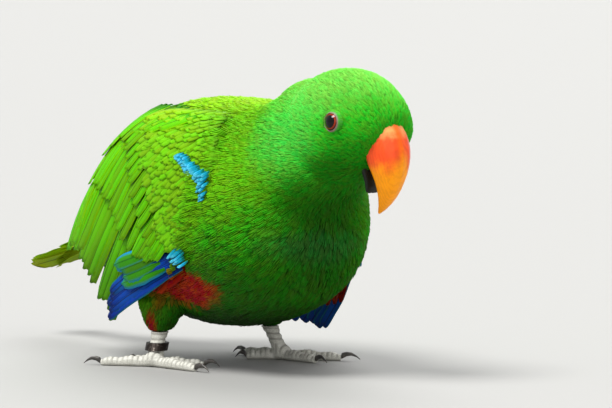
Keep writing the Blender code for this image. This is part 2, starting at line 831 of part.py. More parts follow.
def claw_solid(name, start, direction, length):
    """A curved claw from the end of a toe."""
    aside = Vector((-direction.y, direction.x, 0))
    rings = []
    for share in (0.0, 0.25, 0.5, 0.75, 0.95):
        size = mix(CLAW_RADIUS, CLAW_POINT, share ** 0.9)
        rise = 2.2 + 1.5 * math.sin(math.pi * share) - 1.9 * share ** 2
        centre = start + direction * length * share + Vector((0, 0, rise))
        up = Vector((0, 0, size))
        rings.append(ring(centre + up, centre - up, aside, size * 0.8, count=8))
    return loft(name, rings, "dark_claw")


def build_foot(name, stance):
    """The bare lower leg with its four toes, and the claws as pieces of their own."""
    ankle = Vector(stance.ankle) - Vector((0, 0, GAP))
    hub = Vector((*stance.foot, 0.0))
    rings = []
    base = Vector((hub.x, hub.y, FOOT_HUB_HEIGHT))
    for share, swell in TARSUS_SWELL:
        centre = ankle.lerp(base, share)
        size = TARSUS_RADIUS * swell
        rings.append(ring(centre + Vector((size, 0, 0)), centre - Vector((size, 0, 0)), Vector((0, 1, 0)),
                          size, square=2.0, count=12))
    foot = loft("foot_" + name, rings, "grey_skin")
    pieces = [ball("sole", base, SOLE_RADIUS, "grey_skin", rows=8, around=12)]
    for vert in pieces[0].data.vertices:
        vert.co.z = max(vert.co.z, 0.0006)
    for toe in TOES:
        a = math.radians(stance.heading + toe.outward * stance.side)
        direction = Vector((math.cos(a), math.sin(a), 0))
        pieces.append(toe_solid("toe", hub, direction, toe.length, TOE_RADIUS))
        tip = hub + direction * (toe.length + GAP)
        claw_solid(f"claw_{name}_{toe.name}", tip, direction, CLAW_SHARE * toe.length)
    fuse(foot, pieces)


def build_leg_ring(stance):
    """The plain closed ring round the right lower leg."""
    ankle = Vector(stance.ankle) - Vector((0, 0, GAP))
    base = Vector((*stance.foot, FOOT_HUB_HEIGHT))
    rings = []
    for share, radius in ((RING_PLACE[0], TARSUS_RADIUS + GAP), (RING_PLACE[0], RING_OUTER),
                          (RING_PLACE[1], RING_OUTER), (RING_PLACE[1], TARSUS_RADIUS + GAP)):
        centre = ankle.lerp(base, share)
        rings.append(ring(centre + Vector((radius, 0, 0)), centre - Vector((radius, 0, 0)),
                          Vector((0, 1, 0)), radius, square=2.0, count=24))
    count = len(rings[0])
    points = [p for row in rings for p in row]
    faces = []
    for r in range(4):
        a, b = r * count, (r + 1) % 4 * count
        faces.extend((a + i, a + (i + 1) % count, b + (i + 1) % count, b + i) for i in range(count))
    return make_solid("leg_ring", points, faces, "dark_ring")


def centre_on_floor():
    """Move every piece so that the origin lies on the floor under the middle of the model."""
    items = [o for o in bpy.data.objects if o.type == "MESH"]
    corners = [v.co for o in items for v in o.data.vertices]
    low = [min(c[i] for c in corners) for i in range(3)]
    high = [max(c[i] for c in corners) for i in range(3)]
    shift = Vector((-(low[0] + high[0]) / 2, -(low[1] + high[1]) / 2, -low[2]))
    for item in items:
        item.data.transform(Matrix.Translation(shift))


def main():
    """Build the parrot."""
    clear_scene()
    torso = build_torso()
    head = build_head()
    build_neck(head)
    upper_bill, lower_bill = build_upper_bill(), build_lower_bill()
    finish_head(head, upper_bill, lower_bill)
    build_wing("wing_right", RIGHT, torso)
    build_wing("wing_left", LEFT, torso)
    build_tail()
    for name, stance in STANCES.items():
        build_thigh(name, stance, torso)
        build_foot(name, stance)
    build_leg_ring(STANCES["right"])
    centre_on_floor()


main()
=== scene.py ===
"""A male eclectus parrot, life size and still: skin, plumage, bill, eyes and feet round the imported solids.

Frame: metres, +Z up, +X the way the body faces, +Y the bird's left side, floor at z = 0. Sizes
below are millimetres from the point on the floor midway between the feet; place() turns them into
the frame's metres.
"""
from __future__ import annotations

import logging
import math
from dataclasses import dataclass, field
from enum import Enum
from typing import Iterable, Sequence

import bpy
import numpy as np
from bpy.types import Material, Node, NodeSocket, Object
from mathutils import Matrix, Vector
from mathutils.bvhtree import BVHTree
from mathutils.kdtree import KDTree

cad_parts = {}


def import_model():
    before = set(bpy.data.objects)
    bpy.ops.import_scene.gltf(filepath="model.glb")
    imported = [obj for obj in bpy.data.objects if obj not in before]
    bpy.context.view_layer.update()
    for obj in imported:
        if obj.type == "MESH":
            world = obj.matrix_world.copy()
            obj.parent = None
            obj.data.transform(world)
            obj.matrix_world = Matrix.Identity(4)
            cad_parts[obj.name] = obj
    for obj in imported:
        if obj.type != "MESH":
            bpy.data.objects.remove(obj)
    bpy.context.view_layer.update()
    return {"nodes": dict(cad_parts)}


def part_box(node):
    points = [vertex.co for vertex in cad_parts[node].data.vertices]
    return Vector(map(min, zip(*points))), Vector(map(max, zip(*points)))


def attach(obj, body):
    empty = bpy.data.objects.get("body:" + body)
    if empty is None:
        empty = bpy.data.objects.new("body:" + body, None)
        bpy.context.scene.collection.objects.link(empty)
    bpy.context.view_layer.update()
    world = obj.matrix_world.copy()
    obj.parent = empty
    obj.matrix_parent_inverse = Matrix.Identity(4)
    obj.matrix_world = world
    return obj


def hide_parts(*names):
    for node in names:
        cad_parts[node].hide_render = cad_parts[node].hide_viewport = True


LOG = logging.getLogger("parrot")
MM = 0.001
BODY = "root"
MIDDLE = Vector((13.0475, 0.6816, 0.0))    # from the middle of the feet to the middle of the model

HEAD_CENTRE = Vector((99.0, 5.0, 109.0))
HEAD_TURN = Matrix.Rotation(math.radians(12), 3, "Z") @ Matrix.Rotation(math.radians(25), 3, "Y")
BILL_BASE = Vector((120.0, 9.5, 101.0))
BILL_HUB = (9.4, -10.2)    # middle of the bill's curve: forward and up in the head's own frame
SEED = 11


class Side(Enum):
    """A side of the bird; the value is the sign of y."""

    RIGHT = -1
    LEFT = 1


class Tip(Enum):
    """How a feather ends: the width of its very tip, as a share of its widest place."""

    ROUND = 0.12
    BROAD = 0.4
    BLUNT = 0.72


def place(point: Vector) -> Vector:
    """Turn millimetres from the middle of the feet into the frame's metres."""
    return (Vector(point) + MIDDLE) * MM


def eye_centre(side: Side) -> Vector:
    """The middle of an eyeball, in metres: a little before and below its solid's."""
    low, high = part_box("eye_" + side.name.lower())
    return (low + high) / 2 + HEAD_TURN @ Vector((1.8, -0.2 * side.value, -0.4)) * MM


def eye_axis(side: Side) -> Vector:
    """The way an eye looks in the head's own frame: out to its side, a little back and up."""
    return Vector((-0.06, side.value, 0.02))


def linear(hex_colour: str) -> tuple[float, float, float, float]:
    """Turn an sRGB hex colour into the linear values that a shader takes.

    Args:
        hex_colour: The colour, such as "#44C834".

    Returns:
        Red, green, blue and alpha.
    """
    shares = [int(hex_colour[i:i + 2], 16) / 255 for i in (1, 3, 5)]
    red, green, blue = (c / 12.92 if c <= 0.04045 else ((c + 0.055) / 1.055) ** 2.4 for c in shares)
    return red, green, blue, 1.0


def spline(values: Sequence[float], at: float) -> float:
    """Value at a place along a smooth curve through evenly spaced values."""
    last = len(values) - 1
    at = min(max(at, 0.0), last)
    i = min(int(at), last - 1)
    f = at - i
    p1, p2 = values[i], values[i + 1]
    p0 = values[i - 1] if i > 0 else 2 * p1 - p2
    p3 = values[i + 2] if i + 2 <= last else 2 * p2 - p1
    return 0.5 * (2 * p1 + (p2 - p0) * f + (2 * p0 - 5 * p1 + 4 * p2 - p3) * f ** 2
                  + (3 * p1 - 3 * p2 + p3 - p0) * f ** 3)


def mix(a: float | np.ndarray, b: float | np.ndarray, share: float | np.ndarray) -> float | np.ndarray:
    """Value, or array of values, a share of the way from a to b."""
    return a + (b - a) * share


def share_of(value: float, start: float, end: float) -> float:
    """How far a value lies from start to end, from 0 to 1."""
    return min(max((value - start) / (end - start), 0.0), 1.0)


# Objects and meshes


def select_only(item: Object) -> None:
    """Make an object the only selected one and the active one."""
    bpy.ops.object.select_all(action="DESELECT")
    item.select_set(True)
    bpy.context.view_layer.objects.active = item


def apply_modifier(item: Object, kind: str, **settings: object) -> None:
    """Add a modifier with its settings and apply it.

    Args:
        item: The object to change.
        kind: The modifier's type.
        settings: The modifier's properties.
    """
    select_only(item)
    change = item.modifiers.new(kind.lower(), kind)
    for key, value in settings.items():
        setattr(change, key, value)
    bpy.ops.object.modifier_apply(modifier=change.name)


def merged_copy(node: Object, name: str) -> Object:
    """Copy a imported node's solid, with its loose triangles merged.

    Args:
        node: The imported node.
        name: The copy's name.

    Returns:
        The copy, free of the node's parent.
    """
    copy = bpy.data.objects.new(name, node.data.copy())
    bpy.context.scene.collection.objects.link(copy)
    copy.data.materials.clear()
    select_only(copy)
    bpy.ops.object.mode_set(mode="EDIT")
    bpy.ops.mesh.select_all(action="SELECT")
    bpy.ops.mesh.remove_doubles(threshold=1e-6)
    bpy.ops.mesh.customdata_custom_splitnormals_clear()
    bpy.ops.object.mode_set(mode="OBJECT")
    return copy


def add_primitive(kind: str, name: str, **settings: object) -> Object:
    """Add one of Blender's own mesh shapes, such as a grid, with a name and its settings."""
    bpy.ops.object.select_all(action="DESELECT")
    getattr(bpy.ops.mesh, f"primitive_{kind}_add")(**settings)
    item = bpy.context.active_object
    item.name = name
    return item


def round_off(item: Object, voxel: float, passes: int) -> None:
    """Remesh an object in voxels of so many millimetres, then smooth it in so many passes."""
    apply_modifier(item, "REMESH", mode="VOXEL", voxel_size=voxel * MM)
    apply_modifier(item, "SMOOTH", factor=0.5, iterations=passes)


def join(items: Sequence[Object], name: str) -> Object:
    """Join objects into the first one and give it a name."""
    bpy.ops.object.select_all(action="DESELECT")
    for item in items:
        item.select_set(True)
    bpy.context.view_layer.objects.active = items[0]
    bpy.ops.object.join()
    items[0].name = name
    return items[0]


def keep_largest(item: Object) -> None:
    """Delete every loose part of an object but the largest."""
    select_only(item)
    name = item.name
    bpy.ops.mesh.separate(type="LOOSE")
    parts = sorted(bpy.context.selected_objects, key=lambda part: len(part.data.vertices))
    for part in parts[:-1]:
        bpy.data.objects.remove(part, do_unlink=True)
    parts[-1].name = name
    select_only(parts[-1])


def coordinates(item: Object) -> np.ndarray:
    """The object's vertices as rows of x, y and z in metres."""
    flat = np.empty(len(item.data.vertices) * 3)
    item.data.vertices.foreach_get("co", flat)
    return flat.reshape(-1, 3)


def normals_of(item: Object) -> np.ndarray:
    """The object's vertex normals as rows."""
    flat = np.empty(len(item.data.vertices) * 3)
    item.data.vertex_normals.foreach_get("vector", flat)
    return flat.reshape(-1, 3)


def set_attribute(item: Object, name: str, values: np.ndarray) -> None:
    """Give each vertex a number or a vector for the material to read."""
    vector = values.ndim == 2
    layer = item.data.attributes.new(name, "FLOAT_VECTOR" if vector else "FLOAT", "POINT")
    layer.data.foreach_set("vector" if vector else "value", values.astype(np.float32).ravel())


def smooth(item: Object) -> None:
    """Shade an object smooth."""
    item.data.polygons.foreach_set("use_smooth", np.ones(len(item.data.polygons), dtype=bool))
    item.data.update()


def dress_flesh(item: Object) -> None:
    """Give the flesh under feathers what its material reads, and shade it smooth."""
    set_attribute(item, "place", coordinates(item))
    for name, value in (("along", 0.5), ("across", 0.5), ("tint", 0.5), ("barb", 0.0)):
        set_attribute(item, name, np.full(len(item.data.vertices), value))
    smooth(item)


def finish_piece(item: Object, slot: str, finish: Material, stands_for: Iterable[str] = ()) -> None:
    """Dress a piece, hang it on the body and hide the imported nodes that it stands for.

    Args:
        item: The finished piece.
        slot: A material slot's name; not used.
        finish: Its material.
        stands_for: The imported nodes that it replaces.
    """
    item.data.materials.clear()
    item.data.materials.append(finish)
    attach(item, BODY)
    nodes = tuple(stands_for)
    if nodes:
        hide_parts(*nodes)
    item.data.calc_loop_triangles()
    LOG.info("%s: %d triangles", item.name, len(item.data.loop_triangles))


# Materials


class Surface:
    """A material being put together: nodes that lead to its Principled shader."""

    def __init__(self, name: str) -> None:
        """Start a material with this name."""
        self.made = bpy.data.materials.new(name)
        self.made.use_nodes = True
        self.tree = self.made.node_tree
        self.shader = self.tree.nodes["Principled BSDF"]

    def put(self, node: Node, key: int | str, value: object) -> None:
        """Link a socket to one of a node's inputs, or set a value there."""
        if isinstance(value, NodeSocket):
            self.tree.links.new(value, node.inputs[key])
        elif value is not None:
            node.inputs[key].default_value = value

    def add(self, kind: str, *inputs: object, output: int | str = 0, **named: object) -> NodeSocket:
        """Add a node with its settings and links.

        Args:
            kind: The node's type, without the word ShaderNode.
            inputs: Sockets or values for its inputs in their order; None leaves one as it is.
            output: The output that is used.
            named: Its properties, and inputs by name.

        Returns:
            That output.
        """
        node = self.tree.nodes.new("ShaderNode" + kind)
        settings = {key: value for key, value in named.items() if hasattr(node, key)}
        for key, value in settings.items():
            setattr(node, key, value)
        for key, value in [*enumerate(inputs), *named.items()]:
            if key not in settings:
                self.put(node, key, value)
        return node.outputs[output]

    def product(self, *spans: tuple) -> NodeSocket:
        """Multiply values that are first eased from one range to another.

        Args:
            spans: A value, the ends of its range and, where they aren't 0 and 1, what these become.

        Returns:
            The product.
        """
        result = None
        for span in spans:
            eased = self.add("MapRange", *span, interpolation_type="SMOOTHSTEP")
            result = self.add("Math", result, eased, operation="MULTIPLY") if result is not None else eased
        return result

    def paint(self, colour: str, *layers: tuple) -> NodeSocket:
        """Lay colours over each other.

        Args:
            colour: The hex colour at the bottom.
            layers: A hex colour with its mask, or with the span that makes it, as in product.

        Returns:
            The colour that shows.
        """
        result = linear(colour)
        for over, mask, *span in layers:
            if span:
                mask = self.product((mask, *span))
            # a colour Mix node takes its two colours as the seventh and eighth inputs
            result = self.add("Mix", mask, *[None] * 5, result, linear(over), data_type="RGBA", output=2)
        return result

    def drift(self, noise: NodeSocket, reach: float) -> NodeSocket:
        """Turn noise from 0 to 1 into an offset to either side of 0."""
        centred = self.add("Math", noise, 0.5, operation="SUBTRACT")
        return self.add("Math", centred, reach, operation="MULTIPLY")

    def barbs(self, spacing: float) -> NodeSocket:
        """Waves from -1 to 1 for the barbs of a vane, so many millimetres apart."""
        barb = self.add("Attribute", attribute_name="barb", output="Fac")
        turned = self.add("Math", barb, 2 * math.pi / spacing, operation="MULTIPLY")
        return self.add("Math", turned, operation="SINE")

    def varied(self, colour: NodeSocket, value: NodeSocket, tint: NodeSocket, shift: float) -> NodeSocket:
        """Shade a colour by a value, and shift its hue by each feather's tint."""
        hue = self.product((tint, 0.0, 1.0, 0.5 - shift, 0.5 + shift))
        return self.add("HueSaturation", Color=colour, Value=value, Hue=hue)

    def finish(self, colour: object, settings: dict[str, object], relief: NodeSocket | None = None,
               bump: float = 0.0) -> Material:
        """Give the shader its colour, gloss and relief.

        Args:
            colour: The colour's socket or value.
            settings: Sockets or values for its other inputs, by name.
            relief: The height that its bumps follow.
            bump: How strong they are.

        Returns:
            The finished material.
        """
        if relief is not None:
            settings = {**settings, "Normal": self.add("Bump", Strength=bump, Distance=0.0002, Height=relief)}
        for key, value in {"Base Color": colour, **settings}.items():
            self.put(self.shader, key, value)
        return self.made


@dataclass(frozen=True)
class ColourPatch:
    """A soft-edged patch of colour, alike on both sides of the bird: an ellipsoid, in millimetres."""

    colour: str
    centre: tuple[float, float, float]
    radii: tuple[float, float, float]
    soft: float = 0.35
    amount: float = 1.0


PLUMAGE_BASE = "#358C00"
# Patches over the plumage's colour: the darker ones under the head and body are painted shade, and the
# lighter crown and mantle are partly painted light
PATCHES_WITH_PAINTED_SHADE_AND_LIGHT = (
    ColourPatch("#7CB200", (-18, 0, 112), (92, 60, 44), 0.3),             # mantle and back, yellow-green, lightened partly by a painted sheen of the sky
    ColourPatch("#66A600", (-22, 42, 78), (72, 16, 66), 0.25),            # folded wing
    ColourPatch("#7CB800", (-44, 30, 92), (44, 30, 30), 0.4, 0.7),        # scapulars, beside the back
    ColourPatch("#79B400", (-84, 0, 62), (30, 40, 20), 0.4, 0.8),         # rump
    ColourPatch("#66A800", (56, 34, 100), (28, 26, 26), 0.5, 0.9),        # shoulder
    ColourPatch("#60AC04", (76, 26, 110), (24, 22, 22), 0.5, 0.85),       # side of the neck
    ColourPatch("#3AB41C", (103, 6, 113), (31, 31, 31), 0.35),            # head
    ColourPatch("#72C644", (94, 6, 134), (34, 26, 18), 0.5, 0.85),        # crown, lighter: partly painted light from above
    ColourPatch("#54C448", (90, 24, 110), (16, 14, 18), 0.6, 0.6),        # cheek, a little blue-green
    ColourPatch("#228404", (116, 8, 98), (12, 14, 14), 0.5, 0.7),         # face by the bill, darker: partly painted shade by the gape
    ColourPatch("#1F6A00", (106, 0, 80), (24, 28, 18), 0.5, 0.75),        # under the throat, darker: painted shade under the head
    ColourPatch("#124A00", (98, 0, 60), (22, 25, 22), 0.5, 0.85),         # front of the breast, darkest: painted shadow under the head
    ColourPatch("#2C6C34", (86, 0, 62), (16, 26, 6), 0.6, 0.35),          # pale fringes on the breast
    ColourPatch("#1C5600", (50, 0, 42), (70, 44, 20), 0.5, 0.8),          # lower breast, darker: painted shade
    ColourPatch("#0C2600", (12, 0, 18), (84, 36, 18), 0.5, 0.95),         # belly, near black: painted shade on the underside
    ColourPatch("#225800", (-62, 0, 34), (42, 30, 16), 0.5, 0.8),         # vent
    ColourPatch("#A41E00", (29, 38, 37), (31, 14, 11.5), 0.2),            # flank, red under the wing
    ColourPatch("#8E0E02", (-2, 35, 22), (3.5, 6, 7), 0.4),               # red on the thigh
)


@dataclass(frozen=True)
class Plumage:
    """Contour feathers: matt keratin barbs that hook into a soft vane with a faint silky sheen."""

    name: str
    root_shade: float = 0.62       # brightness at a feather's root
    tip_light: float = 1.1         # and at its tip
    tint: float = 0.16             # how much feathers differ
    barb: float = 0.45             # spacing of the barbs, drawn about five times as coarse as real
    barb_depth: float = 0.16
    roughness: float = 0.55

    @staticmethod
    def colour(surface: Surface) -> NodeSocket:
        """The plumage's colours by where each feather grows, with painted shade under the head and body and
        painted light on crown and mantle, before the light and shade painted within a feather.

        Args:
            surface: The material being made.

        Returns:
            The colour.
        """
        grown = surface.add("Attribute", attribute_name="place", output="Vector")
        x, y, z = surface.add("SeparateXYZ", grown).node.outputs
        folded = surface.add("CombineXYZ", x, surface.add("Math", y, operation="ABSOLUTE"), z)
        wander = surface.drift(surface.add("TexNoise", Scale=90.0, Detail=2.0, Vector=grown), 0.5)
        layers = []
        for mark in PATCHES_WITH_PAINTED_SHADE_AND_LIGHT:
            centre = place(Vector(mark.centre))
            centre.y = abs(mark.centre[1]) * MM
            off = surface.add("VectorMath", folded, centre, operation="SUBTRACT")
            near = surface.add("VectorMath", off, [r * MM for r in mark.radii], operation="DIVIDE")
            far = surface.add("VectorMath", near, operation="LENGTH", output=1)
            far = surface.add("Math", far, wander, operation="ADD")
            layers.append((mark.colour, far, 1 - mark.soft, 1 + mark.soft, mark.amount, 0.0))
        return surface.paint(PLUMAGE_BASE, *layers)

    def make(self) -> Material:
        """The material of skin and body feathers."""
        surface = Surface(self.name)
        along, tint = (surface.add("Attribute", attribute_name=key, output="Fac")
                       for key in ("along", "tint"))
        barbs = surface.barbs(self.barb)
        value = surface.product((along, 0.0, 0.85, self.root_shade, self.tip_light),
                                (tint, 0.0, 1.0, 1 - self.tint, 1 + self.tint),
                                (barbs, -1.0, 1.0, 1 - self.barb_depth, 1 + self.barb_depth))
        colour = surface.varied(self.colour(surface), value, tint, 0.012)
        return surface.finish(colour, {"Roughness": self.roughness, "Specular IOR Level": 0.1}, barbs, 0.35)


@dataclass(frozen=True)
class VaneFinish:
    """A flight feather's colours: stiff, close vanes of barbs on a dark shaft, with a satin gloss."""

    name: str
    root: str
    web: str
    tip: str
    edge: str
    shaft: str
    edge_start: float = 0.7
    tip_start: float = 0.75
    barb: float = 0.6
    low_shade: float = 1.0       # brightness low on the bird
    roughness: float = 0.5

    def make(self) -> Material:
        """The material of one row of feathers."""
        surface = Surface(self.name)
        along, across, tint = (surface.add("Attribute", attribute_name=key, output="Fac")
                               for key in ("along", "across", "tint"))
        grown = surface.add("Attribute", attribute_name="place", output="Vector")
        ragged = surface.drift(surface.add("TexNoise", Scale=160.0, Detail=3.0, Vector=grown), 0.3)
        colour = surface.paint(
            self.root, (self.web, along, 0.05, 0.4), (self.tip, along, self.tip_start, 1.0),
            (self.edge, surface.add("Math", across, ragged, operation="ADD"), self.edge_start, 0.98),
            (self.shaft, across, 0.03, 0.12, 0.85, 0.0))
        barbs = surface.barbs(self.barb)
        height = surface.add("SeparateXYZ", surface.add("TexCoord", output="Object"), output=2)
        value = surface.product((barbs, -1.0, 1.0, 0.86, 1.1), (tint, 0.0, 1.0, 0.82, 1.16),
                                (height, 0.03, 0.065, self.low_shade, 1.0))
        colour = surface.varied(colour, value, tint, 0.01)
        return surface.finish(colour, {"Roughness": self.roughness, "Specular IOR Level": 0.04}, barbs, 0.4)


class Finishes:
    """The materials of the bird, each named for what it is."""

    def __init__(self) -> None:
        """Make every material."""
        self.skin = Plumage("feathered_skin", tip_light=0.72, tint=0.0, barb_depth=0.0).make()
        self.body = Plumage("contour_feathers", barb_depth=0.0).make()
        self.head = Plumage("head_feathers", root_shade=0.82, tint=0.09, barb_depth=0.0).make()
        self.small_wing = Plumage("wing_coverts", tint=0.12).make()
        self.edge = VaneFinish("turquoise_edge_feathers", "#0A6E50", "#1498BA", "#5CCCEA", "#1A90C0",
                               "#0A5A50", tip_start=0.45).make()
        self.green_flight = VaneFinish("green_flight_feathers", "#2E7000", "#5CAC00", "#6CB600", "#84C800",
                                       "#2C5A00", low_shade=0.5).make()
        self.rimmed_covert = VaneFinish("rimmed_coverts", "#2A6A00", "#347E08", "#1C8060", "#0E84B0",
                                        "#1C5A10", edge_start=0.45, tip_start=0.8).make()
        self.blue_flight = VaneFinish("blue_flight_feathers", "#04285C", "#024496", "#043078", "#066A7C",
                                      "#060A26").make()
        self.red_covert = VaneFinish("red_underwing_feathers", "#5A0600", "#8E0E00", "#9A1402", "#7A0C00",
                                     "#400600").make()
        self.tail = VaneFinish("tail_feathers", "#5A8A00", "#86B000", "#A6BC14", "#98B40C", "#3A4A00").make()
        # dark brown under the tail: painted shadow beneath it
        self.tail_under_painted_shadow = VaneFinish("tail_feathers_beneath", "#2A2412", "#3A2E14", "#5A4A1C", "#2C2412",
                                     "#1E180C").make()


# Feathers


@dataclass
class FeatherMesh:
    """Many feathers as one mesh: closed blades that share a piece, with what the material reads."""

    points: list[np.ndarray] = field(default_factory=list)
    faces: list[np.ndarray] = field(default_factory=list)
    places: list[np.ndarray] = field(default_factory=list)
    along: list[np.ndarray] = field(default_factory=list)
    across: list[np.ndarray] = field(default_factory=list)
    barb: list[np.ndarray] = field(default_factory=list)
    tint: list[np.ndarray] = field(default_factory=list)
    patch: list[np.ndarray] = field(default_factory=list)
    size: int = 0

    def add(self, points: np.ndarray, faces: np.ndarray, **layers: np.ndarray) -> None:
        """Add feathers that are already in the frame's metres.

        Args:
            points: Vertices.
            faces: Triangles by vertex number within these points.
            layers: places, along, across, barb, tint and patch, one value a vertex.
        """
        self.points.append(points)
        self.faces.append(faces + self.size)
        for name, values in layers.items():
            getattr(self, name).append(values)
        self.size += len(points)

    def build(self, name: str) -> Object:
        """Make the object.

        Args:
            name: The piece's name.

        Returns:
            The object, with its attributes and its OFBake map.
        """
        points, faces = np.concatenate(self.points), np.concatenate(self.faces)
        mesh = bpy.data.meshes.new(name)
        mesh.vertices.add(len(points))
        mesh.vertices.foreach_set("co", points.astype(np.float32).ravel())
        mesh.loops.add(faces.size)
        mesh.loops.foreach_set("vertex_index", faces.astype(np.int32).ravel())
        mesh.polygons.add(len(faces))
        mesh.polygons.foreach_set("loop_start", np.arange(0, faces.size, 3, dtype=np.int32))
        mesh.update(calc_edges=True)
        layer = mesh.uv_layers.new(name="OFBake")
        layer.data.foreach_set("uv", np.concatenate(self.patch)[faces.ravel()].astype(np.float32).ravel())
        item = bpy.data.objects.new(name, mesh)
        bpy.context.scene.collection.objects.link(item)
        set_attribute(item, "place", np.concatenate(self.places))
        for key in ("along", "across", "barb", "tint"):
            set_attribute(item, key, np.concatenate(getattr(self, key)))
        smooth(item)
        return item


STRAND_STATIONS = (0.0, 0.42, 0.8)
STRAND_WIDTHS = (0.6, 1.0, 0.72)
LID_REACH = 5.3        # from an eyeball's middle to the lids' surface
PATCH = 0.003          # size of a small feather's place on the OFBake map


def strand_faces() -> np.ndarray:
    """Triangles of one strand: three points at each station and one at the tip."""
    faces = [(0, 2, 1)]
    last = 3 * (len(STRAND_STATIONS) - 1)
    for a in range(0, last, 3):
        b = a + 3
        for i in range(3):
            j = (i + 1) % 3
            faces += [(a + i, a + j, b + j), (a + i, b + j, b + i)]
    faces += [(last + i, last + (i + 1) % 3, last + 3) for i in range(3)]
    return np.array(faces)


def unit(rows: np.ndarray) -> np.ndarray:
    """Rows scaled to length one."""
    return rows / np.maximum(np.linalg.norm(rows, axis=1, keepdims=True), 1e-12)


@dataclass(frozen=True)
class Tract:
    """A tract of small feathers, named as on a real bird; sizes in millimetres."""

    name: str
    centre: tuple[float, float, float]
    spacing: float
    length: float
    half: float
    lift: float        # height of the tip over the skin
    strand: float      # half the width of one strand of joined barbs
    strands: int


TRACTS = (
    Tract("face_feathers", (114, 10, 106), 0.95, 3.8, 0.7, 0.7, 0.19, 4),
    Tract("crown_feathers", (99, 5, 134), 1.15, 5.0, 0.85, 0.75, 0.22, 4),
    Tract("cheek_feathers", (94, 24, 96), 1.2, 5.4, 0.9, 0.85, 0.23, 4),
    Tract("nape_feathers", (68, 4, 122), 1.3, 6.2, 1.0, 0.9, 0.27, 4),
    Tract("throat_feathers", (96, 6, 82), 1.35, 6.6, 1.05, 1.0, 0.29, 4),
    Tract("breast_feathers", (78, 0, 58), 1.75, 9.5, 1.4, 1.6, 0.36, 5),
    Tract("side_feathers", (52, 38, 62), 1.9, 10.5, 1.6, 1.7, 0.4, 5),
    Tract("belly_feathers", (10, 0, 24), 2.1, 11.0, 1.7, 1.8, 0.42, 5),
    Tract("mantle_feathers", (28, 0, 122), 2.0, 11.0, 1.8, 1.6, 0.42, 5),
    Tract("back_feathers", (-36, 0, 96), 2.5, 14.5, 2.5, 1.9, 0.52, 6),
    Tract("vent_feathers", (-62, 0, 40), 2.3, 13.0, 1.9, 1.8, 0.46, 5),
    Tract("thigh_feathers", (-1, 28, 27), 1.5, 6.5, 1.1, 1.1, 0.34, 4),
)

# The line down the middle of the body that the feathers' bake map winds round
BODY_LINE = ((127, 11, 92), (99, 5, 109), (66, 2, 100), (40, 0, 80), (0, 0, 70), (-60, 0, 58), (-96, 0, 46))


def unwrap(points: np.ndarray) -> np.ndarray:
    """Places on a map of the skin: round the body's middle line and along it.

    Args:
        points: Rows in millimetres from the middle of the feet.

    Returns:
        Rows of two values from 0 to 1.
    """
    line = np.array(BODY_LINE, dtype=float)
    starts, steps = line[:-1], np.diff(line, axis=0)
    lengths = np.linalg.norm(steps, axis=1)
    done = np.concatenate([[0.0], np.cumsum(lengths)])
    best = np.full(len(points), np.inf)
    result = np.zeros((len(points), 2))
    for start, step, length, before in zip(starts, steps, lengths, done):
        along = np.clip((points - start) @ step / length ** 2, 0.0, 1.0)
        off = points - start - along[:, None] * step
        far = np.linalg.norm(off, axis=1)
        above = np.array([-step[2], 0.0, step[0]]) / np.hypot(step[0], step[2])
        angle = np.arctan2(off[:, 1], off @ above * (1 if step[0] > 0 else -1))
        near = far < best
        best[near] = far[near]
        result[near, 0] = 0.5 + angle[near] / (2 * math.pi) * 0.98
        result[near, 1] = 0.01 + 0.98 * (before + along[near] * length) / done[-1]
    return result


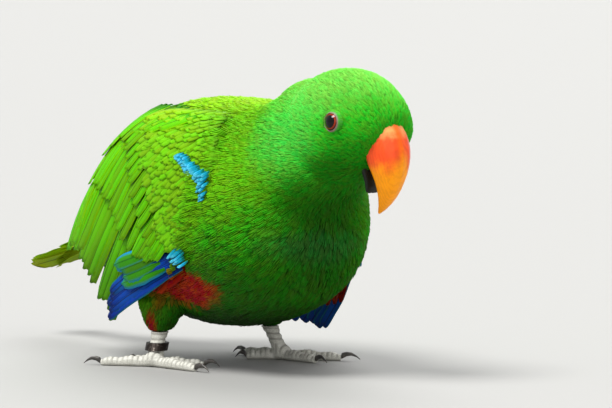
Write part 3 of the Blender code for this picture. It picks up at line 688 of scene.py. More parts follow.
class Coat:
    """The small body feathers over the skin, laid from the bill back towards the tail; millimetres."""

    TRIES = 3.2                 # places tried for each feather
    APART = 0.82                # nearest two roots may be, as a share of the spacing
    FOOT_CLEAR = 0.8            # nearest a root may be to a foot
    UNDERWING = 42.0            # height over which wings cover roots
    WING_REACH = 8.0            # and how far out a wing may be to cover one
    LID_RINGS = (4.3, 4.65, 5.0, 5.25)
    LID_STEPS = 34              # feathers in a ring on the lids
    LID_SIZES = (0.4, 0.6, 0.4)            # their length, half width and lift, as shares
    VARIED = (0.85, 1.15)       # how much feathers differ in size
    TURNED = 0.1                # and in the way they lie, in radians
    EYE_CLEAR = 4.1             # radius before an eye that tips are cut back from
    SHORTER, CUTS = 0.72, 4     # what a cut leaves of a length, and how often one may be cut
    # Balls over the wing's bright edge that tips are cut back from: x, y, z and radius
    BRIGHT_EDGE = ((38, 40, 96, 2.4), (44, 40, 93, 3.4), (50, 40, 87, 4.2), (49, 42, 80, 3.2))
    NECK, SHOULDER = 90.0, 30.0            # between these x, feathers turn to the body's own way
    BODY_WAY, BODY_SHARE = (-0.95, 0.0, -0.32), 0.6
    # A leg's feathers grow below this height, farther out than this and no farther from x = 0
    LEG_TOP, LEG_INSIDE, LEG_REACH = 33, 20, 26
    LEG_WAY = (-0.25, 0.0, -1.0)
    LAP, LAP_FROM = 6.5, 22.0   # feathers before this x lap over a wing that is so near the skin

    def __init__(self, skin: Object, nodes: dict[str, Object]) -> None:
        """Prepare the skin's surface and what keeps feathers off it.

        Args:
            skin: The finished skin.
            nodes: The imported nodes.
        """
        self.skin = skin
        self.draw = np.random.default_rng(SEED)
        self.tree = self.tree_of(skin)
        self.wings = [self.tree_of(nodes[name]) for name in ("wing_right", "wing_left")]
        self.bill = [self.tree_of(nodes[name]) for name in ("bill_upper", "bill_lower")]
        self.feet = [self.tree_of(nodes[name]) for name in ("foot_right", "foot_left")]
        self.eyes = [(eye_centre(side), HEAD_TURN @ eye_axis(side).normalized()) for side in Side]
        self.clear = [(place(Vector((x, y * side.value, z))), r * MM)
                      for side in Side for x, y, z, r in self.BRIGHT_EDGE]

    @staticmethod
    def tree_of(item: Object) -> BVHTree:
        """A search tree over an object's faces, in metres."""
        item.data.calc_loop_triangles()
        points = [tuple(v.co) for v in item.data.vertices]
        return BVHTree.FromPolygons(points, [tuple(t.vertices) for t in item.data.loop_triangles])

    def graded(self, points: np.ndarray) -> tuple[np.ndarray, np.ndarray]:
        """Feather sizes that change little by little from tract to tract.

        Args:
            points: Rows in millimetres from the middle of the feet.

        Returns:
            Rows of spacing, length, half width, lift and strand, and each point's nearest tract.
        """
        folded = points.copy()
        folded[:, 1] = np.abs(folded[:, 1])
        centres = np.array([t.centre for t in TRACTS], dtype=float)
        far = np.linalg.norm(folded[:, None, :] - centres[None], axis=2) + 1.0
        weights = far ** -4.0
        weights /= weights.sum(axis=1, keepdims=True)
        sizes = np.array([(t.spacing, t.length, t.half, t.lift, t.strand) for t in TRACTS])
        return weights @ sizes, far.argmin(axis=1)

    def roots(self) -> tuple[np.ndarray, np.ndarray]:
        """Evenly spread roots over the skin.

        Returns:
            Root places in metres and the skin's normals there.
        """
        triangles = self.skin.data.loop_triangles
        corners = np.empty(len(triangles) * 3, dtype=np.int32)
        triangles.foreach_get("vertices", corners)
        corner_points = coordinates(self.skin)[corners.reshape(-1, 3)]
        a, b, c = corner_points[:, 0], corner_points[:, 1], corner_points[:, 2]
        cross = np.cross(b - a, c - a)
        area = np.linalg.norm(cross, axis=1) / 2
        middles = (a + b + c) / 3
        spacing = self.graded(middles / MM - np.array(MIDDLE))[0][:, 0] * MM
        weight = area / spacing ** 2
        count = int(weight.sum() * self.TRIES)
        picked = self.draw.choice(len(weight), size=count, p=weight / weight.sum())
        u, v = self.draw.random(count), self.draw.random(count)
        fold = u + v > 1
        u[fold], v[fold] = 1 - u[fold], 1 - v[fold]
        points = a[picked] + (b - a)[picked] * u[:, None] + (c - a)[picked] * v[:, None]
        spacing = spacing[picked]
        tree = KDTree(count)
        for i, point in enumerate(points):
            tree.insert(point, i)
        tree.balance()
        free = np.ones(count, dtype=bool)
        kept = []
        for i in range(count):
            if free[i]:
                kept.append(i)
                for _, j, _ in tree.find_range(points[i], spacing[i] * self.APART):
                    free[j] = False
        return points[kept], unit(cross[picked][kept])

    def covered(self, root: Vector, normal: Vector) -> bool:
        """Whether a feather here would grow under a wing, in the bill, in an eye or on a foot."""
        if any((root - eye).length < LID_REACH * MM for eye, _ in self.eyes):
            return True
        if any(self.inside(tree, root + normal * 1.0 * MM) for tree in self.bill):
            return True
        if any(tree.find_nearest(root, self.FOOT_CLEAR * MM)[0] for tree in self.feet):
            return True
        if root.z < self.UNDERWING * MM:
            return False
        return any(tree.ray_cast(root, normal, self.WING_REACH * MM)[0] for tree in self.wings)

    @staticmethod
    def inside(tree: BVHTree, point: Vector) -> bool:
        """Whether a point lies inside a closed surface: a ray out of it crosses it an odd number of times."""
        way = Vector((0.31, 0.22, 0.92)).normalized()
        crossings = 0
        hit = tree.ray_cast(point, way)[0]
        while hit is not None:
            crossings += 1
            hit = tree.ray_cast(hit + way * 1e-6, way)[0]
        return crossings % 2 == 1

    def lid_roots(self) -> tuple[np.ndarray, np.ndarray]:
        """Roots in rings on the lids, outside their bare rims, with the outward directions."""
        points, normals = [], []
        for centre, axis in self.eyes:
            up = axis.cross(Vector((1.0, 0.0, 0.0))).normalized()
            for ring in self.LID_RINGS:
                for step in range(self.LID_STEPS):
                    angle = 2 * math.pi * (step + ring * 2) / self.LID_STEPS
                    out = (up * math.cos(angle) + axis.cross(up) * math.sin(angle)) * ring / LID_REACH
                    out += axis * math.sqrt(1 - (ring / LID_REACH) ** 2)
                    points.append(centre + out * LID_REACH * MM)
                    normals.append(out)
        return np.array([tuple(p) for p in points]), np.array([tuple(n) for n in normals])

    @staticmethod
    def lie(points: np.ndarray, normals: np.ndarray) -> np.ndarray:
        """The way feathers point: away from the bill, and down the legs.

        Args:
            points: Rows in millimetres from the middle of the feet.
            normals: The skin's normals there.

        Returns:
            Unit rows along the skin.
        """
        away = unit(points - np.array(BILL_BASE))
        back = np.clip((Coat.NECK - points[:, 0]) / (Coat.NECK - Coat.SHOULDER), 0.0, 1.0)[:, None]
        back = Coat.BODY_SHARE * back
        away = unit(away * (1 - back) + np.array(Coat.BODY_WAY) * back)
        forward, aside, height = np.abs(points[:, 0]), np.abs(points[:, 1]), points[:, 2]
        on_leg = (height < Coat.LEG_TOP) & (aside > Coat.LEG_INSIDE) & (forward < Coat.LEG_REACH)
        away = np.where(on_leg[:, None], np.array(Coat.LEG_WAY), away)
        along = away - normals * np.sum(away * normals, axis=1, keepdims=True)
        return unit(along)

    def settled(self, points: np.ndarray) -> tuple[np.ndarray, np.ndarray]:
        """The places that feathers pass over: the skin, or the wing where it lies on the skin.

        Args:
            points: Rows in metres.

        Returns:
            The nearest outer places and the skin's normals there.
        """
        places, normals = [], []
        reach = self.LAP * MM
        shoulder = place(Vector((self.LAP_FROM, 0.0, 0.0))).x
        for point in points:
            spot, normal, _, _ = self.tree.find_nearest(point)
            if spot.x > shoulder and normal.z < 0.75:
                for wing in self.wings:
                    hit, facing, _, _ = wing.ray_cast(spot + normal * reach, -normal, reach)
                    if hit is not None and facing.dot(normal) > 0.5:
                        spot = hit
            for eye, _ in self.eyes:
                if (spot - eye).length < LID_REACH * MM:
                    normal = (spot - eye).normalized()
                    spot = eye + normal * LID_REACH * MM
            places.append(tuple(spot))
            normals.append(tuple(normal))
        return np.array(places), np.array(normals)

    def shortened(self, roots: np.ndarray, lie: np.ndarray, length: np.ndarray) -> np.ndarray:
        """Lengths cut so that no tip covers an eye or the bright edge of a wing.

        Args:
            roots: Rows in metres.
            lie: The way each feather points.
            length: Lengths in metres, as one column.

        Returns:
            The new lengths.
        """
        for _ in range(self.CUTS):
            tips = roots + lie * length
            for centre, axis in self.eyes:
                off = tips - np.array(centre)
                ahead = off @ np.array(axis)
                aside = np.linalg.norm(off - ahead[:, None] * np.array(axis), axis=1)
                length[(aside < self.EYE_CLEAR * MM) & (ahead > 0)] *= self.SHORTER
            for centre, radius in self.clear:
                near = np.linalg.norm(tips - np.array(centre), axis=1) < radius
                near &= np.linalg.norm(roots - np.array(centre), axis=1) > radius * 0.9
                length[near] *= self.SHORTER
        return length

    def build(self) -> list[Object]:
        """Lay all the feathers.

        Returns:
            One object for each tract.
        """
        roots, normals = self.roots()
        keep = np.array([not self.covered(Vector(p), Vector(n)) for p, n in zip(roots, normals)])
        lid_points, lid_normals = self.lid_roots()
        roots = np.concatenate([roots[keep], lid_points])
        normals = np.concatenate([normals[keep], lid_normals])
        count = len(roots)
        sizes, tract = self.graded(roots / MM - np.array(MIDDLE))
        sizes[-len(lid_points):, 1:4] *= self.LID_SIZES
        sizes[:, 1:4] *= self.draw.uniform(*self.VARIED, (count, 3))
        length, half, lift, strand = (sizes[:, i:i + 1] * MM for i in (1, 2, 3, 4))
        lie = self.lie(roots / MM - np.array(MIDDLE), normals)
        turn = self.draw.normal(0.0, self.TURNED, count)[:, None]
        lie = unit(lie * np.cos(turn) + np.cross(normals, lie) * np.sin(turn))
        length = self.shortened(roots, lie, length)
        middle, middle_normal = self.settled(roots + lie * length / 2)
        onward = unit(lie - middle_normal * np.sum(lie * middle_normal, axis=1, keepdims=True))
        end, end_normal = self.settled(roots + lie * length / 2 + onward * length / 2)
        curve = np.stack([roots - normals * np.minimum(0.4 * MM, length * 0.06),
                          middle + middle_normal * lift * 0.62, end + end_normal * lift])
        tint = self.draw.random(count)
        pieces = []
        for index, kind in enumerate(TRACTS):
            rows = np.flatnonzero(tract == index)
            mesh = FeatherMesh()
            self.tufts(mesh, curve[:, rows], normals[rows], end_normal[rows], half[rows], strand[rows],
                       tint[rows], roots[rows], kind.strands)
            pieces.append(mesh.build(kind.name))
        return pieces

    def tufts(self, mesh: FeatherMesh, curve: np.ndarray, first: np.ndarray, last: np.ndarray,
              half: np.ndarray, width: np.ndarray, tint: np.ndarray, roots: np.ndarray, strands: int) -> None:
        """Add loose-barbed feathers, each a fan of closed strands along one curve.

        Args:
            mesh: What they are added to.
            curve: Three rows of points: under the skin, the middle and the tip.
            first: The outward direction at the root.
            last: The outward direction at the tip.
            half: Half of each feather's width.
            width: Half of a strand's width.
            tint: A number from 0 to 1 that varies each feather's shade.
            roots: Where they grow.
            strands: Strands in a feather.
        """
        count = len(roots)
        faces = strand_faces()
        chord = curve[2] - curve[0]
        side = unit(np.cross(first + last, chord))
        home = unwrap(roots / MM - np.array(MIDDLE))
        for k in range(strands):
            off = (2 * k / (strands - 1) - 1) + self.draw.normal(0.0, 0.12, (count, 1))
            shrink = 0.2 * off ** 2 + self.draw.uniform(0.0, 0.14, (count, 1))
            start = curve[0] + side * off * half * 0.3
            middle = curve[1] + side * off * half * 0.75 - first * 0.15 * half * off ** 2
            end = (curve[2] + side * off * half - last * 0.22 * half * off ** 2 - chord * shrink
                   + last * self.draw.normal(0.0, 0.1, (count, 1)) * MM)
            rows, along, spread = [], [], []
            for t, share in zip((*STRAND_STATIONS, 1.0), (*STRAND_WIDTHS, 0.0)):
                p = start * (1 - t) * (1 - 2 * t) + middle * 4 * t * (1 - t) + end * t * (2 * t - 1)
                slope = start * (4 * t - 3) + middle * (4 - 8 * t) + end * (4 * t - 1)
                across = unit(np.cross(first * (1 - t) + last * t, slope))
                out = unit(np.cross(slope, across))
                reach = width * share
                corners = ((-1.0, -0.2), (1.0, -0.2), (0.0, 0.55)) if share else ((0.0, 0.0),)
                for wide, high in corners:
                    rows.append(p + across * reach * wide + out * reach * high)
                    along.append(t)
                    spread.append(wide * 0.1)
            size = len(rows)
            corner = np.stack([np.array(spread)[None] + off * 0.28 + np.zeros((count, 1)),
                               np.tile(np.array(along) - 0.5, (count, 1))], axis=2) * PATCH
            shade = np.clip(tint[:, None] + self.draw.normal(0.0, 0.12, (count, 1)), 0, 1)
            mesh.add(np.stack(rows, axis=1).reshape(-1, 3),
                     (faces[None] + np.arange(count)[:, None, None] * size).reshape(-1, 3),
                     places=np.repeat(roots, size, axis=0), along=np.tile(along, count),
                     across=np.zeros(count * size), barb=np.zeros(count * size),
                     tint=np.repeat(shade[:, 0], size), patch=(home[:, None, :] + corner).reshape(-1, 2))


# The skin


@dataclass
class Skin:
    """One skin for trunk, neck, head and thighs, sunk by the depth of the feathers; millimetres."""

    depth: float = 1.3
    voxel: float = 1.3
    close: float = 0.4          # how far the solids are grown so that their gaps close
    smoothing: int = 8
    flesh: tuple[str, ...] = ("torso", "neck", "head", "leg_right", "leg_left")
    fillers: tuple[tuple, ...] = (
        ((78.0, 3.2, 114.0), (26.5, 19.0, 18.3)),     # nape, full where the head is bent down
        ((114.3, 8.3, 115.5), (11.2, 13.0, 10.5)),    # forehead, bulging over the bill
    )

    def build(self, nodes: dict[str, Object]) -> Object:
        """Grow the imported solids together, smooth the seams and sink the surface.

        Args:
            nodes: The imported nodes.

        Returns:
            The skin.
        """
        parts = []
        for name in self.flesh:
            part = merged_copy(nodes[name], "skin_" + name)
            apply_modifier(part, "DISPLACE", strength=self.close * MM, mid_level=0.0)
            parts.append(part)
        for name in ("bill_upper", "bill_lower", "eye_right", "eye_left"):
            parts.append(merged_copy(nodes[name], "skin_" + name))
        for centre, radii in self.fillers:
            filler = add_primitive("uv_sphere", "filler", segments=32, ring_count=20, radius=MM,
                                   location=place(Vector(centre)))
            filler.scale = radii
            bpy.ops.object.transform_apply(location=True, rotation=True, scale=True)
            parts.append(filler)
        skin = join(parts, "skin")
        round_off(skin, self.voxel, self.smoothing)
        apply_modifier(skin, "DISPLACE", strength=-self.depth * MM, mid_level=0.0)
        keep_largest(skin)
        skin = bpy.context.active_object
        dress_flesh(skin)
        return skin


# Wings and tail


@dataclass(frozen=True)
class Row:
    """A row of vanes. Pairs run from its first feather to its last, and lift from root to tip."""

    name: str
    count: int
    x: tuple[float, float]
    down: tuple[float, float]
    heading: tuple[float, float]
    length: tuple[float, float]
    half: tuple[float, float]
    lift: tuple[float, float]
    tip: Tip = Tip.ROUND
    stations: int = 8
    tilt: float = -9.0
    uneven: float = 1.0        # how much its feathers differ from each other


@dataclass(frozen=True)
class VaneShape:
    """The shape common to large feathers, in millimetres or as shares of half the width."""

    thick: float = 0.5
    edge_thick: float = 0.12
    shaft: float = 0.16
    camber: float = 0.16
    narrow_web: float = 0.8

    def add(self, mesh: FeatherMesh, spine: Sequence[Vector], normals: Sequence[Vector], half: float,
            tip: Tip, tilt: float, draw: np.random.Generator, cell: tuple[float, float, float]) -> None:
        """Add one vane along a path.

        Args:
            mesh: What it is added to.
            spine: Its shaft's points, evenly spaced, in millimetres.
            normals: Outward directions there.
            half: Half its width.
            tip: How it ends.
            tilt: Its lean about its own length, in degrees.
            draw: Random numbers.
            cell: Left, bottom and size of its patch on the OFBake map.
        """
        last = len(spine) - 1
        length = sum((spine[i + 1] - spine[i]).length for i in range(last))
        columns = (-1.0, -0.5, 0.0, 0.5, 1.0)
        tops, lows, along, across, barb, patch = [], [], [], [], [], []
        shares = [1 - (1 - i / last) ** 1.35 for i in range(last + 1)]
        frayed = draw.uniform(0.9, 1.04, (last + 1, 2))
        for i, share in enumerate(shares):
            at = share * last
            low = min(int(at), last - 1)
            middle = spine[low].lerp(spine[low + 1], at - low)
            ahead = (spine[low + 1] - spine[low]).normalized()
            normal = normals[low].lerp(normals[low + 1], at - low)
            out = (normal - ahead * normal.dot(ahead)).normalized()
            out = Matrix.Rotation(math.radians(tilt), 3, ahead) @ out
            side = out.cross(ahead)
            width = half * self.width(share, tip)
            for c in columns:
                reach = width * c * (self.narrow_web if c < 0 else 1.0)
                if abs(c) == 1.0 and 0 < i < last:
                    reach *= frayed[i, int(c > 0)]
                rise = -self.camber * half * c * c + (self.shaft if c == 0 else 0.0)
                thick = mix(self.thick, self.edge_thick, abs(c)) * mix(1.0, 0.4, share)
                back = 0.5 * half * (1 - math.sqrt(1 - 0.9 * c * c)) if i == last else 0.0
                top = middle + side * reach + out * rise - ahead * back
                tops.append(place(top))
                lows.append(place(top - out * thick))
                along.append(share)
                across.append(abs(c))
                barb.append(share * length - abs(c) * half * 1.3)
                patch.append((cell[0] + cell[2] * (0.5 + 0.42 * c),
                              cell[1] + cell[2] * (0.04 + 0.92 * share)))
        wide, size = len(columns), len(tops)
        faces = []
        for r in range(last):
            for c in range(wide - 1):
                a = r * wide + c
                b = a + wide
                faces += [(a, a + 1, b + 1), (a, b + 1, b), (size + a, size + b + 1, size + a + 1),
                          (size + a, size + b, size + b + 1)]
        rim = list(range(wide)) + [r * wide + wide - 1 for r in range(1, last + 1)]
        rim += [last * wide + c for c in range(wide - 2, -1, -1)] + [r * wide for r in range(last - 1, 0, -1)]
        for i, a in enumerate(rim):
            b = rim[(i + 1) % len(rim)]
            faces += [(a, size + b, b), (a, size + a, size + b)]
        root = np.tile(np.array(place(spine[0])), (2 * size, 1))
        mesh.add(np.array([tuple(p) for p in tops + lows]), np.array(faces), places=root,
                 along=np.array(along * 2), across=np.array(across * 2), barb=np.array(barb * 2),
                 tint=np.full(2 * size, draw.random()), patch=np.array(patch * 2))

    @staticmethod
    def width(share: float, tip: Tip) -> float:
        """Width at a share of the length, as a share of the widest."""
        grown = mix(0.4, 1.0, min(share / 0.45, 1.0) ** 0.8)
        ending = share_of(share, 0.72 if tip is Tip.ROUND else 0.86, 1.0)
        return grown * mix(tip.value, 1.0, math.sqrt(max(1 - ending ** 2, 0.0)))


class WingBed:
    """The curved shape that a folded wing lies on, from ribs across the body; millimetres."""

    START, STEP = 60.0, 20.0    # x of the first rib, and how far apart ribs are
    CREST = (118.0, 120.5, 121.0, 120.8, 117.0, 106.5, 89.0, 69.5, 55.0)
    LEVEL = (84.0, 80.0, 76.0, 72.0, 68.0, 62.0, 56.0, 49.0, 44.0)
    HALF = (35.0, 39.5, 41.5, 41.0, 39.0, 37.5, 34.5, 29.5, 24.0)
    SQUARE = 2.5                # how square a rib's shoulder is: 2 is an ellipse
    FRONT = (46.0, 53.0)        # x of the wing's front edge high up and at its bend

    def __init__(self, side: Side) -> None:
        """Take the side's own reach down the flank, flare outwards and front edge at the bottom."""
        self.sign = side.value
        own = (62.0, -6.0, 12.0) if side is Side.RIGHT else (76.0, 20.0, 34.0)
        self.reach, self.flare, self.low_front = own

    def point(self, x: float, down: float, lift: float = 0.0) -> Vector:
        """A point over the body: down is 0 at the spine and 1 at the widest level."""
        at = (self.START - x) / self.STEP
        crest, level, half = spline(self.CREST, at), spline(self.LEVEL, at), spline(self.HALF, at)
        if down < 1:
            angle = math.pi / 2 * down
            y = half * math.sin(angle) ** (2 / self.SQUARE)
            z = level + (crest - level) * math.cos(angle) ** (2 / self.SQUARE)
        else:
            y = half + self.flare * (down - 1) ** 2
            z = level - self.reach * (down - 1)
        spot = Vector((x, y * self.sign, z))
        return spot + self.normal(x, down) * lift if lift else spot

    def normal(self, x: float, down: float) -> Vector:
        """The outward direction."""
        back = self.point(x - 1, down) - self.point(x + 1, down)
        fall = self.point(x, down + 0.02) - self.point(x, down - 0.02)
        found = back.cross(fall).normalized()
        return found if found.y * self.sign > 0 else -found

    def path(self, x: float, down: float, heading: float, length: float, lift: tuple[float, float],
             steps: int) -> tuple[list[Vector], list[Vector]]:
        """Walk over the bed from a root.

        Args:
            x: Where it starts, along the body.
            down: Where it starts, round the body.
            heading: Degrees below straight back.
            length: How far it goes.
            lift: Height over the bed at its start and end.
            steps: How many steps it takes.

        Returns:
            Points and outward normals.
        """
        spine, normals = [], []
        turn = math.radians(heading)
        for step in range(steps + 1):
            spine.append(self.point(x, down, mix(*lift, step / steps)))
            normals.append(self.normal(x, down))
            here = self.point(x, down)
            back = (self.point(x - 1, down) - here).length
            fall = (self.point(x, down + 0.02) - here).length / 0.02
            x -= length / steps * math.cos(turn) / back
            down += length / steps * math.sin(turn) / fall
        return spine, normals

    def front(self, down: float) -> float:
        """Where the wing's front edge is."""
        return mix(mix(*self.FRONT, share_of(down, 0.3, 0.8)), self.low_front, share_of(down, 1.0, 1.66) ** 2)


@dataclass(frozen=True)
class Hand:
    """How a folded wing's hand is held: its outermost feather's root and run."""

    x: float
    down: float
    heading: float
    length: float


@dataclass
class Wing:
    """A folded wing: arm, flight feathers in tiers and the small coverts over them; millimetres."""

    side: Side
    arm_span: tuple[float, float] = (0.36, 1.34)    # where its pad starts and ends, round the body
    arm_depth: float = 0.8
    arm_rounding: float = 0.16  # width of the pad's sloping rim, as a share of its size
    small_rows: int = 11
    small_count: int = 11       # in each of a row's stretches
    stretches: tuple[tuple[float, float], ...] = ((0.36, 0.72), (0.72, 1.03), (1.03, 1.24))

    @property
    def hand(self) -> Hand:
        """The hand; the left one is held lower and steeper."""
        return Hand(34, 1.50, 9, 65) if self.side is Side.RIGHT else Hand(44, 1.49, 30, 46)

    def rows(self) -> dict[str, tuple[Row, ...]]:
        """The rows of large feathers, by finish."""
        hand = self.hand
        primaries = Row("primary", 9, (hand.x, 15), (hand.down, 1.38), (hand.heading, hand.heading + 4),
                        (hand.length, mix(hand.length, 40, 0.75)), (3.0, 3.8), (2.2, 2.9), Tip.BLUNT)
        primary_coverts = Row("primary_covert", 7, (hand.x - 1, 20), (hand.down - 0.05, 1.34),
                              (hand.heading, hand.heading + 5), (27, 24), (2.6, 3.2), (2.9, 3.5))
        rimmed = Row("rimmed_covert", 4, (24, 15), (1.48, 1.34), (hand.heading - 6, hand.heading - 8),
                     (36, 33), (4.2, 4.8), (3.3, 4.2))
        alula = Row("alula", 9, (hand.x + 5, hand.x + 1), (hand.down - 0.02, hand.down - 0.15),
                    (hand.heading + 2, hand.heading + 16), (5.5, 9), (0.7, 1.0), (3.6, 4.5),
                    stations=6, uneven=3.0)
        secondaries = Row("secondary", 15, (5, -36), (1.12, 0.38), (44, 36), (54, 60), (5.2, 5.8),
                          (0.7, 1.9), Tip.BROAD)
        greater = Row("greater_covert", 13, (14, -18), (1.04, 0.42), (43, 38), (30, 34), (3.7, 4.3),
                      (2.2, 3.1))
        hand_greater = Row("hand_covert", 5, (30, 18), (1.24, 1.08), (26, 40), (22, 26), (3.0, 3.4),
                           (3.0, 4.0), stations=6)
        median = Row("median_covert", 14, (32, 2), (1.2, 0.42), (40, 37), (22, 24), (3.0, 3.8), (2.9, 4.1),
                     stations=6)
        scapulars = (
            Row("long_scapular", 8, (10, -26), (0.42, 0.33), (22, 30), (36, 40), (4.6, 5.0), (2.4, 2.6)),
            Row("scapular", 9, (36, -12), (0.42, 0.28), (20, 28), (28, 36), (4.0, 4.6), (2.4, 3.8)),
            Row("short_scapular", 9, (42, 6), (0.46, 0.28), (24, 26), (17, 22), (2.6, 3.2), (1.2, 3.3),
                stations=6),
        )
        return {
            "blue": (primaries, primary_coverts),
            "rimmed": (rimmed,),
            "green": (secondaries, greater, hand_greater, median, *scapulars),
            "edge": (alula, *self.edge_coverts()),
        }

    def build(self, looks: Finishes, nodes: dict[str, Object]) -> None:
        """Make the wing's pieces.

        Args:
            looks: The materials.
            nodes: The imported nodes.
        """
        bed = WingBed(self.side)
        name = self.side.name.lower()
        draw = np.random.default_rng(SEED + 3 + self.side.value)
        self.build_arm(bed, name, looks)
        rows = self.rows()
        for key, group, look in (("blue_feathers", rows["blue"], looks.blue_flight),
                                 ("rimmed_feathers", rows["rimmed"], looks.rimmed_covert),
                                 ("green_feathers", rows["green"], looks.green_flight),
                                 ("edge_feathers", rows["edge"], looks.edge),
                                 ("small_coverts", self.small_coverts(bed), looks.small_wing),
                                 ("underwing_coverts", self.underwing(bed), looks.red_covert)):
            mesh = FeatherMesh()
            self.add_rows(mesh, bed, group, draw)
            stands_for = [f"wing_{name}"] if key == "green_feathers" else []
            finish_piece(mesh.build(f"wing_{name}_{key}"), "wing_feathers", look, stands_for)

    def build_arm(self, bed: WingBed, name: str, looks: Finishes) -> None:
        """The flesh of arm and hand, a low rounded pad that the small coverts grow from."""
        arm = add_primitive("grid", f"wing_{name}_arm", x_subdivisions=22, y_subdivisions=26, size=1.0)
        for vert in arm.data.vertices:
            down = mix(*self.arm_span, vert.co.y + 0.5)
            share = vert.co.x + 0.5
            edge = min(share, 1 - share, vert.co.y + 0.5, 0.5 - vert.co.y) / self.arm_rounding
            lift = mix(0.2, self.arm_depth, math.sin(math.pi / 2 * min(edge, 1.0)))
            rear = self.median_line(down) - 6.0
            vert.co = place(bed.point(mix(bed.front(down) - 2.5, rear, share), down, lift))
        apply_modifier(arm, "SOLIDIFY", thickness=1.0 * MM, offset=-1.0 * self.side.value)
        select_only(arm)
        bpy.ops.object.mode_set(mode="EDIT")
        bpy.ops.mesh.select_all(action="SELECT")
        bpy.ops.mesh.normals_make_consistent(inside=False)
        bpy.ops.object.mode_set(mode="OBJECT")
        dress_flesh(arm)
        finish_piece(arm, "wing_feathers", looks.skin)

    @staticmethod
    def median_line(down: float) -> float:
        """Where the median coverts grow, slanting forward and down the wing."""
        return mix(2.0, 32.0, (down - 0.42) / 0.78)

    def small_coverts(self, bed: WingBed) -> tuple[Row, ...]:
        """Rows of lesser coverts from the median ones to the wing's front edge, smaller and smaller."""
        rows = []
        for k in range(self.small_rows):
            share = k / (self.small_rows - 1)
            length, half = mix(15.0, 7.5, share), mix(2.5, 1.3, share)
            lift = (mix(2.3, 1.2, share), mix(4.1, 2.9, share))
            for part, (high, low) in enumerate(self.stretches):
                ends = [mix(self.median_line(down) + 4, bed.front(down) + 0.5, share) for down in (high, low)]
                headings = (mix(26, 34, part / 2), mix(32, 40, part / 2))
                rows.append(Row(f"lesser_{k}_{part}", self.small_count, tuple(ends), (high, low), headings,
                                (length, length), (half, half), lift, stations=5, tilt=-5.0, uneven=2.2))
        return tuple(rows)

    @staticmethod
    def edge_coverts() -> tuple[Row, ...]:
        """Small bright feathers round the bend of the wing, in rows that lap over each other."""
        rows = []
        for k in range(3):
            back = 1.3 * k
            rows.append(Row(f"bend_upper_{k}", 11, (36.5 - back, 51 - back), (0.77, 0.9), (22, 20),
                            (3.6, 6.0), (0.8, 1.15), (3.5, 4.5 - 0.3 * k), stations=5, tilt=-4.0, uneven=2.2))
            rows.append(Row(f"bend_lower_{k}", 8, (53 - back, 51.5 - back), (0.905, 1.045), (20, 34),
                            (5.2, 2.2), (1.05, 0.5), (3.4, 4.3 - 0.3 * k), stations=5, tilt=-4.0, uneven=2.2))
        return tuple(rows)

    def underwing(self, bed: WingBed) -> tuple[Row, ...]:
        """Rows of red coverts on the wing's inner face, along its lower front edge."""
        hand = self.hand
        return tuple(Row(f"underwing_{k}", 11, (bed.front(1.0) - 4 - 6 * k, hand.x + 2 - 7 * k),
                         (1.0, hand.down), (52, hand.heading + 12), (26, 22), (2.8, 2.6), (-0.9, -1.5),
                         stations=5, tilt=4.0)
                     for k in range(4))

    def add_rows(self, mesh: FeatherMesh, bed: WingBed, rows: Sequence[Row],
                 draw: np.random.Generator) -> None:
        """Add rows of vanes, each feather with its own cell of the bake map.

        Args:
            mesh: What they are added to.
            bed: The shape that they lie on.
            rows: The rows.
            draw: Random numbers.
        """
        grid = math.ceil(math.sqrt(sum(row.count for row in rows)))
        shape = VaneShape()
        done = 0
        for row in rows:
            LOG.debug("%s: %d feathers", row.name, row.count)
            for i in range(row.count):
                share = i / (row.count - 1)
                length = mix(*row.length, share) * (1 + row.uneven * draw.uniform(-0.07, 0.07))
                heading = mix(*row.heading, share) + row.uneven * draw.uniform(-3.0, 3.0)
                lift = (row.lift[0], row.lift[1] + draw.uniform(-0.15, 0.25))
                x = mix(*row.x, share) + row.uneven * draw.uniform(-0.4, 0.4)
                spine, normals = bed.path(x, mix(*row.down, share), heading, length, lift, row.stations)
                shape.add(mesh, spine, normals, mix(*row.half, share), row.tip, row.tilt * self.side.value,
                          draw, (done % grid / grid, done // grid / grid, 1 / grid))
                done += 1


@dataclass(frozen=True)
class TailRow:
    """A fan of tail feathers, alike on both sides of the middle; millimetres and degrees."""

    name: str
    count: int
    back: float
    length: float
    shorter: float
    half: float
    spread: float
    apart: float
    rise: float
    roof: float
    sag: float
    tilt: float


